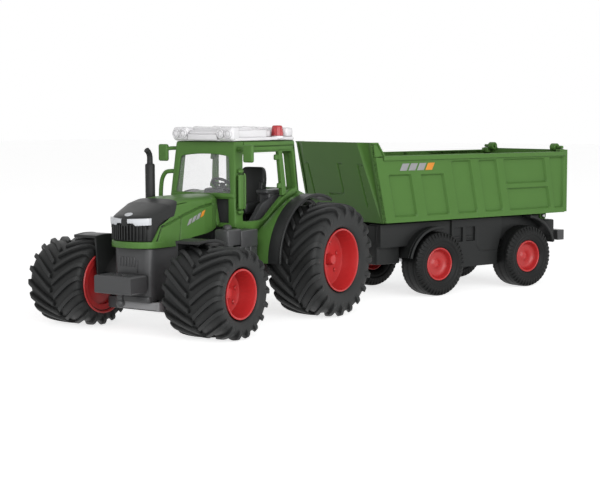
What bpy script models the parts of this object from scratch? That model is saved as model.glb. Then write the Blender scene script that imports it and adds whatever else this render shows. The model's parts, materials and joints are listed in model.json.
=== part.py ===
"""Toy farm tractor with a hitched tipping trailer, modelled piece by piece.

Tractor frame: X to the tractor's left, Y to the rear, Z up, zero on the ground under the front axle.
Trailer frame: the same axes turned by the hitch angle, zero on the ground under the hitch pin.
The root empty moves the whole model so that the origin is the centre of its base.
"""

import math

import bmesh
import bpy
import numpy as np
from mathutils import Matrix, Vector

MM = 0.001

# Fits
GAP = 0.3 * MM
RUNNING = 0.3 * MM
OVERLAP = 1.0 * MM

# Tractor layout
WHEELBASE = 139.8 * MM
HITCH_Y = WHEELBASE + 61.0 * MM
HITCH_YAW = math.radians(-19.88)

# Tractor wheels
FRONT_TYRE_RADIUS = 34.57 * MM
FRONT_TYRE_WIDTH = 46.5 * MM
FRONT_FACE_X = 92.55 * MM
FRONT_LIP_RADIUS = 18.96 * MM
REAR_TYRE_RADIUS = 47.0 * MM
REAR_TYRE_WIDTH = 39.4 * MM
REAR_FACE_X = 90.45 * MM
REAR_LIP_RADIUS = 25.98 * MM
TRACTOR_TYRE_BULGE = 0.2 * MM
TRACTOR_LUGS = 11
TRACTOR_CROWN = ((0.92, 0.6), (0.72, 0.08), (0.06, 0.0))
TRACTOR_RAISED = 3
LUG_HEIGHT = 3.2 * MM
LUG_SWEEP = math.radians(23.0)
RIM_FLANGE = 1.5 * MM
RIM_STEP = 1.2 * MM
RIM_WALL = 1.8 * MM
TRACTOR_RIM_SIDES = 14
TRACTOR_DISH = 13.0 * MM
TRACTOR_HUB_RADIUS = 6.5 * MM
TRACTOR_HUB_REACH = 12.0 * MM
INNER_FLARE = 4.6 * MM
INNER_FLARE_DEPTH = 8.0 * MM
STUB_RADIUS = 2.5 * MM
AXLE_RADIUS = 3.0 * MM

# Front fenders, which set the kingpins and the front block beside the tyres
FRONT_FENDER_GAP = 3.0 * MM
FRONT_FENDER_THICK = 1.3 * MM
FRONT_FENDER_WIDTH = 31.0 * MM
FRONT_FENDER_INNER_X = FRONT_FACE_X + TRACTOR_TYRE_BULGE - FRONT_TYRE_WIDTH - 6.25 * MM
FRONT_FENDER_START = math.radians(112.0)
FRONT_FENDER_END = math.radians(56.0)

# Chassis and steering
KINGPIN_X = FRONT_FENDER_INNER_X - 10.0 * MM
KINGPIN_RADIUS = 2.4 * MM
KNUCKLE_RADIUS = 5.6 * MM
BLOCK_HALF = KINGPIN_X - KNUCKLE_RADIUS - 5.9 * MM
BLOCK_FRONT_Y = -16.0 * MM
BLOCK_REAR_Y = 34.0 * MM
BLOCK_BOTTOM_Z = 25.6 * MM
BLOCK_TOP_Z = 65.0 * MM
SPINE_HALF = 13.0 * MM
HOUSING_HALF = 24.0 * MM
HOUSING_FRONT_Y = WHEELBASE - 43.8 * MM
HOUSING_REAR_Y = WHEELBASE + 26.2 * MM
HOUSING_BOTTOM_Z = REAR_TYRE_RADIUS - 15.0 * MM
HOUSING_TOP_Z = REAR_TYRE_RADIUS + 17.0 * MM
HOUSING_WALL = 3.0 * MM
SPINE_BOTTOM_Z = HOUSING_BOTTOM_Z + 2.0 * MM
SPINE_TOP_Z = HOUSING_TOP_Z - 4.0 * MM
BEAM_BOTTOM_Z = 16.4 * MM
BEAM_HALF_DEPTH = 6.0 * MM
ARM_LENGTH = 13.0 * MM
TIE_PIN_RADIUS = 1.3 * MM
TIE_SLOT = 0.9 * MM
TIE_THICK = 3.0 * MM
TONGUE_HALF = 7.0 * MM
TONGUE_THICK = 4.0 * MM
TONGUE_TOP_Z = 41.0 * MM
HITCH_PIN_RADIUS = 2.0 * MM
HITCH_PIN_HEAD = 2.5 * MM
LID_THICK = 2.0 * MM
LID_MARGIN = 5.0 * MM

# Front weight, with its hook pin below
WEIGHT_FRONT_Y = -38.0 * MM
WEIGHT_REAR_Y = -20.0 * MM
WEIGHT_HALF = 18.2 * MM
WEIGHT_LOW_Z = 32.5 * MM
WEIGHT_TOP_Z = 46.0 * MM
WEIGHT_CHAMFER = 2.0 * MM
WEIGHT_NECK_HALF = 9.0 * MM
WEIGHT_SLOT = (4.0 * MM, 6.0 * MM, 10.0 * MM)
WEIGHT_SLOT_DEPTH = 2.0 * MM
HOOK_PIN_RADIUS = 2.2 * MM
HOOK_BALL_RADIUS = 3.4 * MM
HOOK_BALL_Z = 24.5 * MM

# Drive
GEAR_MODULE = 1.5 * MM
GEAR_TEETH = 16
PINION_TEETH = 8
GEAR_HALF = 3.0 * MM
MOTOR_RADIUS = 7.5 * MM
MOTOR_LENGTH = 13.0 * MM
MOTOR_SHAFT_RADIUS = 1.0 * MM

# Cab length, set by the rear axle
CAB_FRONT_Y = WHEELBASE - 64.1 * MM
CAB_REAR_TOP_Y = WHEELBASE + 19.3 * MM
CAB_REAR_BASE_Y = WHEELBASE + 24.2 * MM

# Hood: heights, half widths and edges at stations along it
HOOD_FRONT_Y = -8.0 * MM
HOOD_REAR_Y = CAB_FRONT_Y - 0.4 * MM
HOOD_NECK_Y = HOOD_REAR_Y - 27.0 * MM
NOSE_FRONT_Y = -19.0 * MM
PANEL_FRONT_Y = -19.8 * MM
PANEL_REAR_Y = 14.6 * MM
PANEL_THICK = 1.2 * MM
CHIN_BOTTOM_Z = 65.6 * MM
CHIN_TOP_Z = 70.9 * MM
LAMP_BOTTOM_Z = 82.4 * MM
GRILLE_BARS = 12
GRILLE_HALF = 14.2 * MM
GRILLE_DEPTH = 1.4 * MM
LAMP_DEPTH = 3.2 * MM
LAMP_HALF_GAP = 2.8 * MM
HOOD_CROWN = ((PANEL_FRONT_Y, 89.0 * MM), (HOOD_FRONT_Y, 94.0 * MM), (3.0 * MM, 98.4 * MM),
              (PANEL_REAR_Y, 101.2 * MM), (35.0 * MM, 102.2 * MM), (HOOD_REAR_Y, 102.9 * MM))
HOOD_HALF = ((PANEL_FRONT_Y, 15.6 * MM), (-15.5 * MM, 19.4 * MM), (HOOD_FRONT_Y, 21.0 * MM),
             (5.0 * MM, 21.8 * MM), (HOOD_NECK_Y, 22.2 * MM), (HOOD_REAR_Y - 18.0 * MM, 21.0 * MM),
             (HOOD_REAR_Y - 9.0 * MM, 17.0 * MM), (HOOD_REAR_Y, 11.5 * MM))
HOOD_EDGE = ((PANEL_FRONT_Y, CHIN_BOTTOM_Z), (11.0 * MM, CHIN_BOTTOM_Z), (30.0 * MM, 71.0 * MM),
             (HOOD_REAR_Y, 77.0 * MM))
HOOD_ROLL = ((PANEL_FRONT_Y, 0.9 * MM), (PANEL_REAR_Y, 3.2 * MM))

# Cab
CAB_HALF = 30.0 * MM
CAB_TOP_Z = 144.5 * MM
CAB_WALL = 2.8 * MM
FLOOR_TOP_Z = HOUSING_TOP_Z + 9.5 * MM
CAB_SILL_Z = FLOOR_TOP_Z - 2.5 * MM
DOOR_FRONT_Y = CAB_FRONT_Y + 10.8 * MM
DOOR_REAR_Y = WHEELBASE + 12.7 * MM
DOOR_STEP_Y = WHEELBASE - 40.8 * MM
DOOR_TOP_Z = 135.0 * MM
DOOR_BOTTOM_Z = FLOOR_TOP_Z + 7.0 * MM
DOOR_SILL = 2.5 * MM
WINDSHIELD_BOTTOM_Z = 103.6 * MM
WINDSHIELD_TOP_Z = 132.5 * MM
WINDSHIELD_HALF = CAB_HALF - 5.5 * MM
WINDSHIELD_TAPER = 2.0 * MM
WINDSHIELD_ARCH = 1.5 * MM
REAR_WINDOW_BOTTOM_Z = 104.0 * MM
FOOT_WINDOW_X = (12.5 * MM, CAB_HALF - 6.4 * MM)
FOOT_WINDOW_Z = (DOOR_BOTTOM_Z - 1.0 * MM, 98.5 * MM)
HINGE_RADIUS = 2.2 * MM
HINGE_HALF = 2.6 * MM
HINGE_Z = (111.0 * MM, 128.0 * MM)
ROOF_TOP_Z = 156.0 * MM
ROOF_HALF = CAB_HALF + 1.0 * MM
ROOF_FRONT_Y = CAB_FRONT_Y - 3.7 * MM
ROOF_REAR_Y = CAB_REAR_TOP_Y + 1.4 * MM
ROOF_CORNER = 6.0 * MM
ROOF_SECTIONS = ((CAB_TOP_Z + GAP, 0.6 * MM), (CAB_TOP_Z + 2.0 * MM, 0.0), (150.5 * MM, 0.8 * MM),
                 (154.5 * MM, 3.5 * MM), (ROOF_TOP_Z, 9.0 * MM))
ROOF_LAMP_RADIUS = 3.4 * MM
ROOF_LAMP_PROUD = 1.4 * MM
ROOF_LAMP_X = (14.5 * MM, 22.5 * MM)
ROOF_LAMP_Z = CAB_TOP_Z + 5.0 * MM
BEACON_X = ROOF_HALF - 7.5 * MM
BEACON_Y = ROOF_REAR_Y - 17.5 * MM
BEACON_PAD_Z = 148.0 * MM
BEACON_PAD_HALF = 6.0 * MM
BEACON_BASE_RADIUS = 4.6 * MM
BEACON_RADIUS = 4.0 * MM
BEACON_TIP_RADIUS = 3.4 * MM
BEACON_HEIGHT = 9.0 * MM
FENDER_RADIUS = REAR_TYRE_RADIUS + 6.3 * MM
FENDER_THICK = 1.6 * MM
FLARE_THICK = 3.1 * MM
FLARE_X = CAB_HALF + 20.0 * MM
FENDER_X = CAB_HALF + 36.0 * MM
FENDER_START = math.radians(182.0)
FENDER_END = math.radians(64.0)
DASH_FRONT_Y = CAB_FRONT_Y + CAB_WALL + GAP
COLUMN_LENGTH = 18.9 * MM

# Cab fittings
MIRROR_X = (CAB_HALF + 8.6 * MM, CAB_HALF + 18.6 * MM)
MIRROR_Y = CAB_FRONT_Y - 0.7 * MM
MIRROR_Z = (127.8 * MM, 142.0 * MM)
MIRROR_THICK = 3.0 * MM
MIRROR_ARM_Z = 138.5 * MM
MIRROR_ARM_RADIUS = 1.1 * MM
RAIL_Y = (CAB_FRONT_Y + 1.6 * MM, CAB_FRONT_Y + 7.8 * MM)
RAIL_Z = (91.0 * MM, 118.0 * MM)
RAIL_STAND = 1.6 * MM
RAIL_THICK = 2.4 * MM
RAIL_FOOT_RADIUS = 1.6 * MM
EXHAUST_X = -26.2 * MM
EXHAUST_Y = 35.0 * MM
EXHAUST_RADIUS = 3.4 * MM
EXHAUST_PIPE_RADIUS = 1.8 * MM
EXHAUST_Z = (84.0 * MM, 101.0 * MM, 127.0 * MM, 134.0 * MM, 137.2 * MM)

# Cab interior
ARCH_TOP_Z = REAR_TYRE_RADIUS + 52.0 * MM
ARCH_WIDTH = 4.5 * MM
DASH_HALF = 11.0 * MM
DASH_TOP_Z = 103.0 * MM
SEAT_HALF = 11.5 * MM
SEAT_BOLSTER = 3.0 * MM
SEAT_TOP_Z = 121.0 * MM

# Side tanks
TANK_OUTER_X = CAB_HALF + 15.0 * MM
TANK_FRONT_Y = CAB_FRONT_Y - 25.7 * MM
TANK_REAR_Y = CAB_FRONT_Y + 2.3 * MM
TANK_LOW_Z = 42.0 * MM
TANK_SHELF_Z = 66.0 * MM
TANK_TOP_Z = 76.0 * MM
TANK_RIB = 1.0 * MM
TANK_RIB_WIDTH = 3.0 * MM
TANK_CAP_RADIUS = 3.2 * MM
TANK_CAP_HEIGHT = 2.6 * MM

# Trailer
TRAILER_TYRE_RADIUS = 29.34 * MM
TRAILER_TYRE_WIDTH = 26.2 * MM
TRAILER_FACE_X = 58.0 * MM
TRAILER_TYRE_BULGE = 2.3 * MM
TRAILER_LIP_RADIUS = 15.17 * MM
TRAILER_BLOCKS = 10
TRAILER_CROWN = ((0.86, 0.3), (0.5, -1.0))
TRAILER_RAISED = 1
TRAILER_RIM_SIDES = 10
TRAILER_HUB_RADIUS = 5.0 * MM
TRAILER_HUB_REACH = 9.0 * MM
BLOCK_HEIGHT = 1.4 * MM
TRAILER_DISH = 5.0 * MM
TRAILER_AXLE_Y = (123.5 * MM, 236.9 * MM)
TRAILER_AXLE_RADIUS = 2.5 * MM
BED_HALF = 55.45 * MM
BED_BOTTOM_Z = 2 * TRAILER_TYRE_RADIUS + 10.82 * MM
BED_RAIL_Z = BED_BOTTOM_Z + 59.5 * MM
BED_FRONT_TOP_Z = BED_BOTTOM_Z + 71.5 * MM
BED_FRONT_Y = 58.7 * MM
BED_REAR_Y = 288.0 * MM
BED_WALL = 2.5 * MM
BED_LEAN = 0.215
BED_CAP_DEPTH = 8.0 * MM
RAIL_HEIGHT = 2.4 * MM
RAIL_PROUD = 0.9 * MM
PANEL_DEPTH = 0.8 * MM
PANEL_LOW_Z = BED_BOTTOM_Z + 4.7 * MM
PANEL_MIDDLE_Z = BED_BOTTOM_Z + 42.8 * MM
PANEL_HIGH_Z = BED_RAIL_Z - 5.5 * MM
PANEL_BAR_Z = (BED_BOTTOM_Z + 26.3 * MM, BED_BOTTOM_Z + 30.0 * MM)
LOW_PANELS = ((63.6 * MM, 90.2 * MM), (101.5 * MM, 129.1 * MM))
HIGH_PANELS = ((137.5 * MM, 162.1 * MM), (171.7 * MM, 194.9 * MM))
BARRED_PANEL = (203.7 * MM, 259.1 * MM)
LAST_PANEL_Y = 265.3 * MM
PANEL_REAR_EDGE = 5.0 * MM
GROOVE_WIDTH = 1.4 * MM
GROOVE_DEPTH = 0.7 * MM
TIP_AXIS_Y = BED_REAR_Y - 7.0 * MM
TIP_AXIS_Z = BED_BOTTOM_Z - 4.5 * MM
TIP_ROD_RADIUS = 1.8 * MM
TIP_LUG_RADIUS = 4.3 * MM
GATE_THICK = 2.5 * MM
GATE_AXIS_Y = BED_REAR_Y - 2.5 * MM
GATE_AXIS_Z = BED_RAIL_Z + 4.0 * MM
GATE_LUG_X = (BED_HALF - 15.5 * MM, BED_HALF - 8.5 * MM)
GATE_RIB_X = (-36.0 * MM, -12.0 * MM, 12.0 * MM, 36.0 * MM)
GATE_RIB_HALF = 2.0 * MM
GATE_PIN_RADIUS = 1.5 * MM
GATE_LUG_RADIUS = 3.6 * MM
DRAWBAR_THICK = 4.0 * MM
DRAWBAR_HALF = 6.0 * MM
DRAWBAR_SPREAD = 16.0 * MM
DRAWBAR_NECK_Y = 20.0 * MM
FRAME_HALF = TRAILER_FACE_X + TRAILER_TYRE_BULGE - TRAILER_TYRE_WIDTH - 5.1 * MM
FRAME_TOP_Z = BED_BOTTOM_Z - 9.5 * MM
FRAME_LOW_Z = TRAILER_TYRE_RADIUS + 8.7 * MM
FRAME_FRONT_Y = BED_FRONT_Y + 4.0 * MM
FRAME_REAR_Y = BED_REAR_Y - 2.0 * MM
FRAME_NOSE_HALF = FRAME_HALF + 11.0 * MM
FRAME_NOSE_LOW_Z = TRAILER_TYRE_RADIUS + 1.7 * MM
HANGER_HALF = 8.0 * MM
HANGER_LOW_Z = TRAILER_TYRE_RADIUS - 8.3 * MM
SKIRT_HALF = TRAILER_FACE_X - 12.0 * MM
SKIRT_BOTTOM_Z = 23.0 * MM
SKIRT_TOP_Z = BED_BOTTOM_Z - 3.5 * MM
SKIRT_GAP = 2.4 * MM
LOUVRE_WIDTH = 12.0 * MM
LOUVRE_Z = (TRAILER_TYRE_RADIUS + 17.7 * MM, TRAILER_TYRE_RADIUS + 30.0 * MM)
LOUVRE_DEPTH = 1.5 * MM
LOUVRE_RIBS = 2
LOUVRE_RIB = 1.2 * MM
GUARD_OUTER_X = TRAILER_FACE_X - 2.0 * MM
GUARD_THICK = 1.5 * MM
GUARD_SPANS = ((3.0 * MM, math.radians(163.0), math.radians(82.0)),
               (6.0 * MM, math.radians(92.0), math.radians(16.0)))
BUMPER_HALF = 45.0 * MM
BUMPER_Z = (41.0 * MM, 51.0 * MM)
BUMPER_DEPTH = 9.0 * MM
BUMPER_STAND = 4.0 * MM
BUMPER_MOUNT_X = (12.0 * MM, 20.0 * MM)

# Colours: base colour, roughness, metallic
GREEN = ((0.105, 0.205, 0.065), 0.38, 0.0)
GREY = ((0.065, 0.066, 0.070), 0.5, 0.0)
BLACK = ((0.030, 0.031, 0.032), 0.5, 0.0)
RUBBER = ((0.027, 0.029, 0.028), 0.75, 0.0)
RED = ((0.48, 0.028, 0.030), 0.35, 0.0)
WHITE = ((0.82, 0.78, 0.80), 0.2, 0.0)
LAMP = ((0.75, 0.77, 0.80), 0.12, 0.0)
GLASS = ((0.62, 0.63, 0.66), 0.05, 0.0)
BEACON_RED = ((0.60, 0.09, 0.10), 0.2, 0.0)
STEEL = ((0.45, 0.45, 0.46), 0.3, 1.0)


# Scene helpers


def clear_scene():
    for obj in list(bpy.data.objects):
        bpy.data.objects.remove(obj)


def empty(name, parent=None, place=(0.0, 0.0, 0.0), turn=0.0):
    """An unrendered frame for the pieces that share one body or one joint axis."""
    obj = bpy.data.objects.new(name, None)
    obj.empty_display_size = 5 * MM
    obj.location = place
    obj.rotation_euler = (0.0, 0.0, turn)
    obj.parent = parent
    bpy.context.scene.collection.objects.link(obj)
    return obj


def finish_material(name, finish):
    colour, roughness, metallic = finish
    material = bpy.data.materials.new(name)
    material.use_nodes = True
    shader = material.node_tree.nodes["Principled BSDF"]
    shader.inputs["Base Color"].default_value = (*colour, 1.0)
    shader.inputs["Roughness"].default_value = roughness
    shader.inputs["Metallic"].default_value = metallic
    return material


def mesh_object(name, shape):
    bmesh.ops.recalc_face_normals(shape, faces=shape.faces)
    mesh = bpy.data.meshes.new(name)
    shape.to_mesh(mesh)
    shape.free()
    obj = bpy.data.objects.new(name, mesh)
    bpy.context.scene.collection.objects.link(obj)
    return obj


def combine(obj, shape, operation):
    """Joins a shape to the object or cuts it out, and keeps the result as the object's mesh."""
    tool = mesh_object("tool", shape)
    modifier = obj.modifiers.new("combine", "BOOLEAN")
    modifier.operation = operation
    modifier.object = tool
    result = obj.evaluated_get(bpy.context.evaluated_depsgraph_get())
    mesh = bpy.data.meshes.new_from_object(result)
    obj.modifiers.clear()
    old = obj.data
    obj.data = mesh
    bpy.data.meshes.remove(old)
    tool_mesh = tool.data
    bpy.data.objects.remove(tool)
    bpy.data.meshes.remove(tool_mesh)


def piece(name, parent, finish, shape, joins=(), cuts=(), last_joins=()):
    """One named solid: a shape, what is joined to it, what is then cut from it and what stands in a cut."""
    obj = mesh_object(name, shape)
    for other in joins:
        combine(obj, other, "UNION")
    for other in cuts:
        combine(obj, other, "DIFFERENCE")
    for other in last_joins:
        combine(obj, other, "UNION")
    obj.data.name = name
    obj.data.materials.clear()
    obj.data.materials.append(finish_material(name, finish))
    obj.data.shade_smooth()
    obj.data.set_sharp_from_angle(angle=math.radians(30))
    obj.parent = parent
    return obj


# Shapes


def from_faces(points, faces):
    shape = bmesh.new()
    verts = [shape.verts.new(point) for point in points]
    for face in faces:
        shape.faces.new([verts[index] for index in face])
    return shape


def loft(sections):
    """Skin through closed sections of equal length, with flat caps on the first and last."""
    count = len(sections[0])
    points = [point for section in sections for point in section]
    faces = [list(range(count)), list(range(len(points) - count, len(points)))]
    for ring in range(len(sections) - 1):
        start = ring * count
        for index in range(count):
            after = (index + 1) % count
            faces.append([start + index, start + after, start + count + after, start + count + index])
    return from_faces(points, faces)


def place_on(axis, along, first, second):
    """A 3-D point from a height along one axis and two coordinates in the plane across it."""
    if axis == "X":
        return (along, first, second)
    if axis == "Y":
        return (first, along, second)
    return (first, second, along)


def prism(outline, axis, low, high):
    return loft([[place_on(axis, along, *point) for point in outline] for along in (low, high)])


def box(low, high):
    outline = [(low[0], low[1]), (high[0], low[1]), (high[0], high[1]), (low[0], high[1])]
    return prism(outline, "Z", low[2], high[2])


def arc(centre, radius, start, end, steps):
    """Points on an arc, ends included; angles run from the first plane axis to the second."""
    angles = np.linspace(start, end, steps + 1)
    return [(centre[0] + radius * math.cos(a), centre[1] + radius * math.sin(a)) for a in angles]


def rounded(outline, radius, steps=2):
    """The outline with each corner replaced by an arc of the given radius."""
    result = []
    count = len(outline)
    for index in range(count):
        corner = Vector(outline[index])
        before = (Vector(outline[index - 1]) - corner).normalized()
        after = (Vector(outline[(index + 1) % count]) - corner).normalized()
        half = before.angle(after) / 2
        middle = (before + after).normalized() * (radius / math.sin(half)) + corner
        first = corner + before * (radius / math.tan(half)) - middle
        last = corner + after * (radius / math.tan(half)) - middle
        sweep = first.angle_signed(last)
        for step in range(steps + 1):
            turn = Matrix.Rotation(-sweep * step / steps, 2)
            result.append(tuple(middle + turn @ first))
    return result


def rectangle(half_width, low, high):
    return [(-half_width, low), (half_width, low), (half_width, high), (-half_width, high)]


def rod(start, end, radius, sides=8, end_radius=None):
    """A straight round bar, or a cone where the radius at its end differs."""
    return sweep([start, end], [radius, radius if end_radius is None else end_radius], sides)


def sweep(path, radii, sides=10):
    """A round bar along a path of points, with its own radius at each point."""
    points = [Vector(point) for point in path]
    normal = None
    rings = []
    for index, point in enumerate(points):
        back = (point - points[index - 1]).normalized() if index else None
        ahead = (points[index + 1] - point).normalized() if index < len(points) - 1 else None
        tangent = ((back or ahead) + (ahead or back)).normalized()
        if normal is None:
            helper = Vector((0, 0, 1)) if abs(tangent.z) < 0.9 else Vector((1, 0, 0))
            normal = helper.cross(tangent)
        normal = (normal - tangent * normal.dot(tangent)).normalized()
        side = tangent.cross(normal)
        stretch = 1.0 / max(0.5, tangent.dot(ahead or back))
        ring = []
        for step in range(sides):
            angle = math.tau * (step + 0.5) / sides
            radius = radii[index] * (1.0 if back is None or ahead is None else stretch)
            ring.append(tuple(point + (normal * math.cos(angle) + side * math.sin(angle)) * radius))
        rings.append(ring)
    return loft(rings)


def turned(profile, sides, side=1):
    """A closed profile of (along X, radius) points turned about X into a ring."""
    count = len(profile)
    points = []
    faces = []
    for step in range(sides):
        angle = math.tau * step / sides
        for along, radius in profile:
            points.append((side * along, radius * math.cos(angle), radius * math.sin(angle)))
        for index in range(count):
            after = (index + 1) % count
            here = step * count
            ahead = (step + 1) % sides * count
            faces.append([here + index, here + after, ahead + after, ahead + index])
    return from_faces(points, faces)


def mirrored(points):
    """The points followed by their mirror images across X = 0, in reverse order."""
    return list(points) + [(-point[0], *point[1:]) for point in reversed(points) if point[0] > 1e-7]


# Wheels


def tyre_shape(side, radius, width, lip_radius, bulge, flare, lugs, lug_height, sweep_angle, crown,
               raised_rows):
    """A tyre about X with its outer face near X = 0, whose raised lugs alternate between the halves.

    Its inner bead opens by the flare, as the rim's inner end does. The crown
    lists (share of half width, fall in lug heights) from the shoulder to the middle. Each
    column of the tread is sheared round the axle by its distance from the middle, so that the
    raised columns of the two halves make chevrons.
    """
    columns = 2 * lugs
    base = radius - lug_height
    tread_foot = base - 2 * lug_height
    half = width / 2
    middle = bulge - half
    flats = math.cos(math.pi / columns)
    bore = (lip_radius - RIM_STEP + GAP) / flats
    lip = (lip_radius + GAP) / flats
    seat = half - bulge - RIM_FLANGE - GAP
    bead = [(seat, bore), (seat, lip), (half - 0.5 * MM, lip)]
    flank = [(half, base - 1.5 * lug_height)]
    flank += [(half * across, base - fall * lug_height) for across, fall in crown]
    inner_bead = [(half - 0.5 * MM, bore + flare / flats)]
    if flare:
        inner_bead = [(half - bulge - 2 * GAP - INNER_FLARE_DEPTH, bore)] + inner_bead
    inner = [(-across, height) for across, height in reversed(inner_bead + flank)]
    profile = bead + flank + inner
    count = len(profile)
    near_cells = range(len(bead), len(bead) + raised_rows)
    far_end = len(bead) + 2 * len(flank) - 1
    far_cells = range(far_end - raised_rows, far_end)
    shape = bmesh.new()
    rings = []
    for column in range(columns):
        ring = []
        for across, height in profile:
            share = min(1.0, abs(across) / (half * 0.92)) if height > tread_foot else 1.0
            angle = math.tau * column / columns + sweep_angle * share
            point = (side * (middle + across), -height * math.cos(angle), height * math.sin(angle))
            ring.append(shape.verts.new(point))
        rings.append(ring)
    raised = []
    for column in range(columns):
        here = rings[column]
        ahead = rings[(column + 1) % columns]
        for index in range(count):
            after = (index + 1) % count
            quad = shape.faces.new([here[index], here[after], ahead[after], ahead[index]])
            if index in (near_cells, far_cells)[column % 2]:
                raised.append(quad)
    bmesh.ops.recalc_face_normals(shape, faces=shape.faces)
    grown = bmesh.ops.extrude_face_region(shape, geom=raised)["geom"]
    for vert in grown:
        if isinstance(vert, bmesh.types.BMVert):
            raise_lug_point(vert, side * middle, half, base - 1.2 * lug_height, radius)
    bmesh.ops.delete(shape, geom=[face for face in raised if face.is_valid], context="FACES_ONLY")
    return shape


def raise_lug_point(vert, middle, half, flank_radius, radius):
    """Lifts a lug's point to the tread radius, or a little off the flank below the shoulder."""
    height = math.hypot(vert.co.y, vert.co.z)
    if height < flank_radius:
        vert.co.x += math.copysign(0.4 * MM, vert.co.x - middle)
        lifted = height + 0.4 * MM
    else:
        across = abs(vert.co.x - middle) / half
        lifted = radius if across < 0.8 else radius - 0.9 * MM
    vert.co.y *= lifted / height
    vert.co.z *= lifted / height


def rim_shape(side, width, lip_radius, dish, hub_radius, bore_radius, hub_reach, flare, sides):
    """A flanged rim about X, its lip at X = 0, with a dished disc, a bored hub and a flared inner end."""
    barrel = lip_radius - RIM_STEP
    inside = barrel - RIM_WALL
    disc = RIM_WALL + 0.6 * MM
    hub_face = 3.0 * MM
    profile = [(0, barrel - 0.3 * MM), (0, lip_radius), (-RIM_FLANGE, lip_radius), (-RIM_FLANGE, barrel)]
    if flare:
        profile += [(INNER_FLARE_DEPTH - width, barrel), (-width, barrel + flare), (-width, inside + flare)]
        profile += [(INNER_FLARE_DEPTH - width, inside)]
    else:
        profile += [(-width, barrel), (-width, inside)]
    profile += [(-dish - disc, inside), (-dish - disc, hub_radius)]
    profile += [(-dish - hub_reach, hub_radius), (-dish - hub_reach, bore_radius)]
    profile += [(-dish + hub_face, bore_radius), (-dish + hub_face, hub_radius * 0.8), (-dish, inside)]
    return turned(profile, sides, side)


def tractor_wheel(end, name, side, parent, radius, width, lip_radius, bore_radius):
    rim_width = width - 2 * TRACTOR_TYRE_BULGE - GAP
    rim = rim_shape(side, rim_width, lip_radius, TRACTOR_DISH, TRACTOR_HUB_RADIUS, bore_radius,
                    TRACTOR_HUB_REACH, INNER_FLARE, TRACTOR_RIM_SIDES)
    piece(f"{end}_rim_{name}", parent, RED, rim)
    tyre = tyre_shape(side, radius, width, lip_radius, TRACTOR_TYRE_BULGE, INNER_FLARE, TRACTOR_LUGS,
                      LUG_HEIGHT, LUG_SWEEP, TRACTOR_CROWN, TRACTOR_RAISED)
    piece(f"{end}_tyre_{name}", parent, RUBBER, tyre)


def trailer_wheel(end, name, side, parent):
    rim_width = TRAILER_TYRE_WIDTH - 2 * TRAILER_TYRE_BULGE
    bore = TRAILER_AXLE_RADIUS + GAP
    rim = rim_shape(side, rim_width, TRAILER_LIP_RADIUS, TRAILER_DISH, TRAILER_HUB_RADIUS, bore,
                    TRAILER_HUB_REACH, 0.0, TRAILER_RIM_SIDES)
    piece(f"trailer_rim_{end}_{name}", parent, RED, rim)
    tyre = tyre_shape(side, TRAILER_TYRE_RADIUS, TRAILER_TYRE_WIDTH, TRAILER_LIP_RADIUS, TRAILER_TYRE_BULGE,
                      0.0, TRAILER_BLOCKS, BLOCK_HEIGHT, 0.0, TRAILER_CROWN, TRAILER_RAISED)
    piece(f"trailer_tyre_{end}_{name}", parent, RUBBER, tyre)


# Tractor chassis, drive and steering


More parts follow.
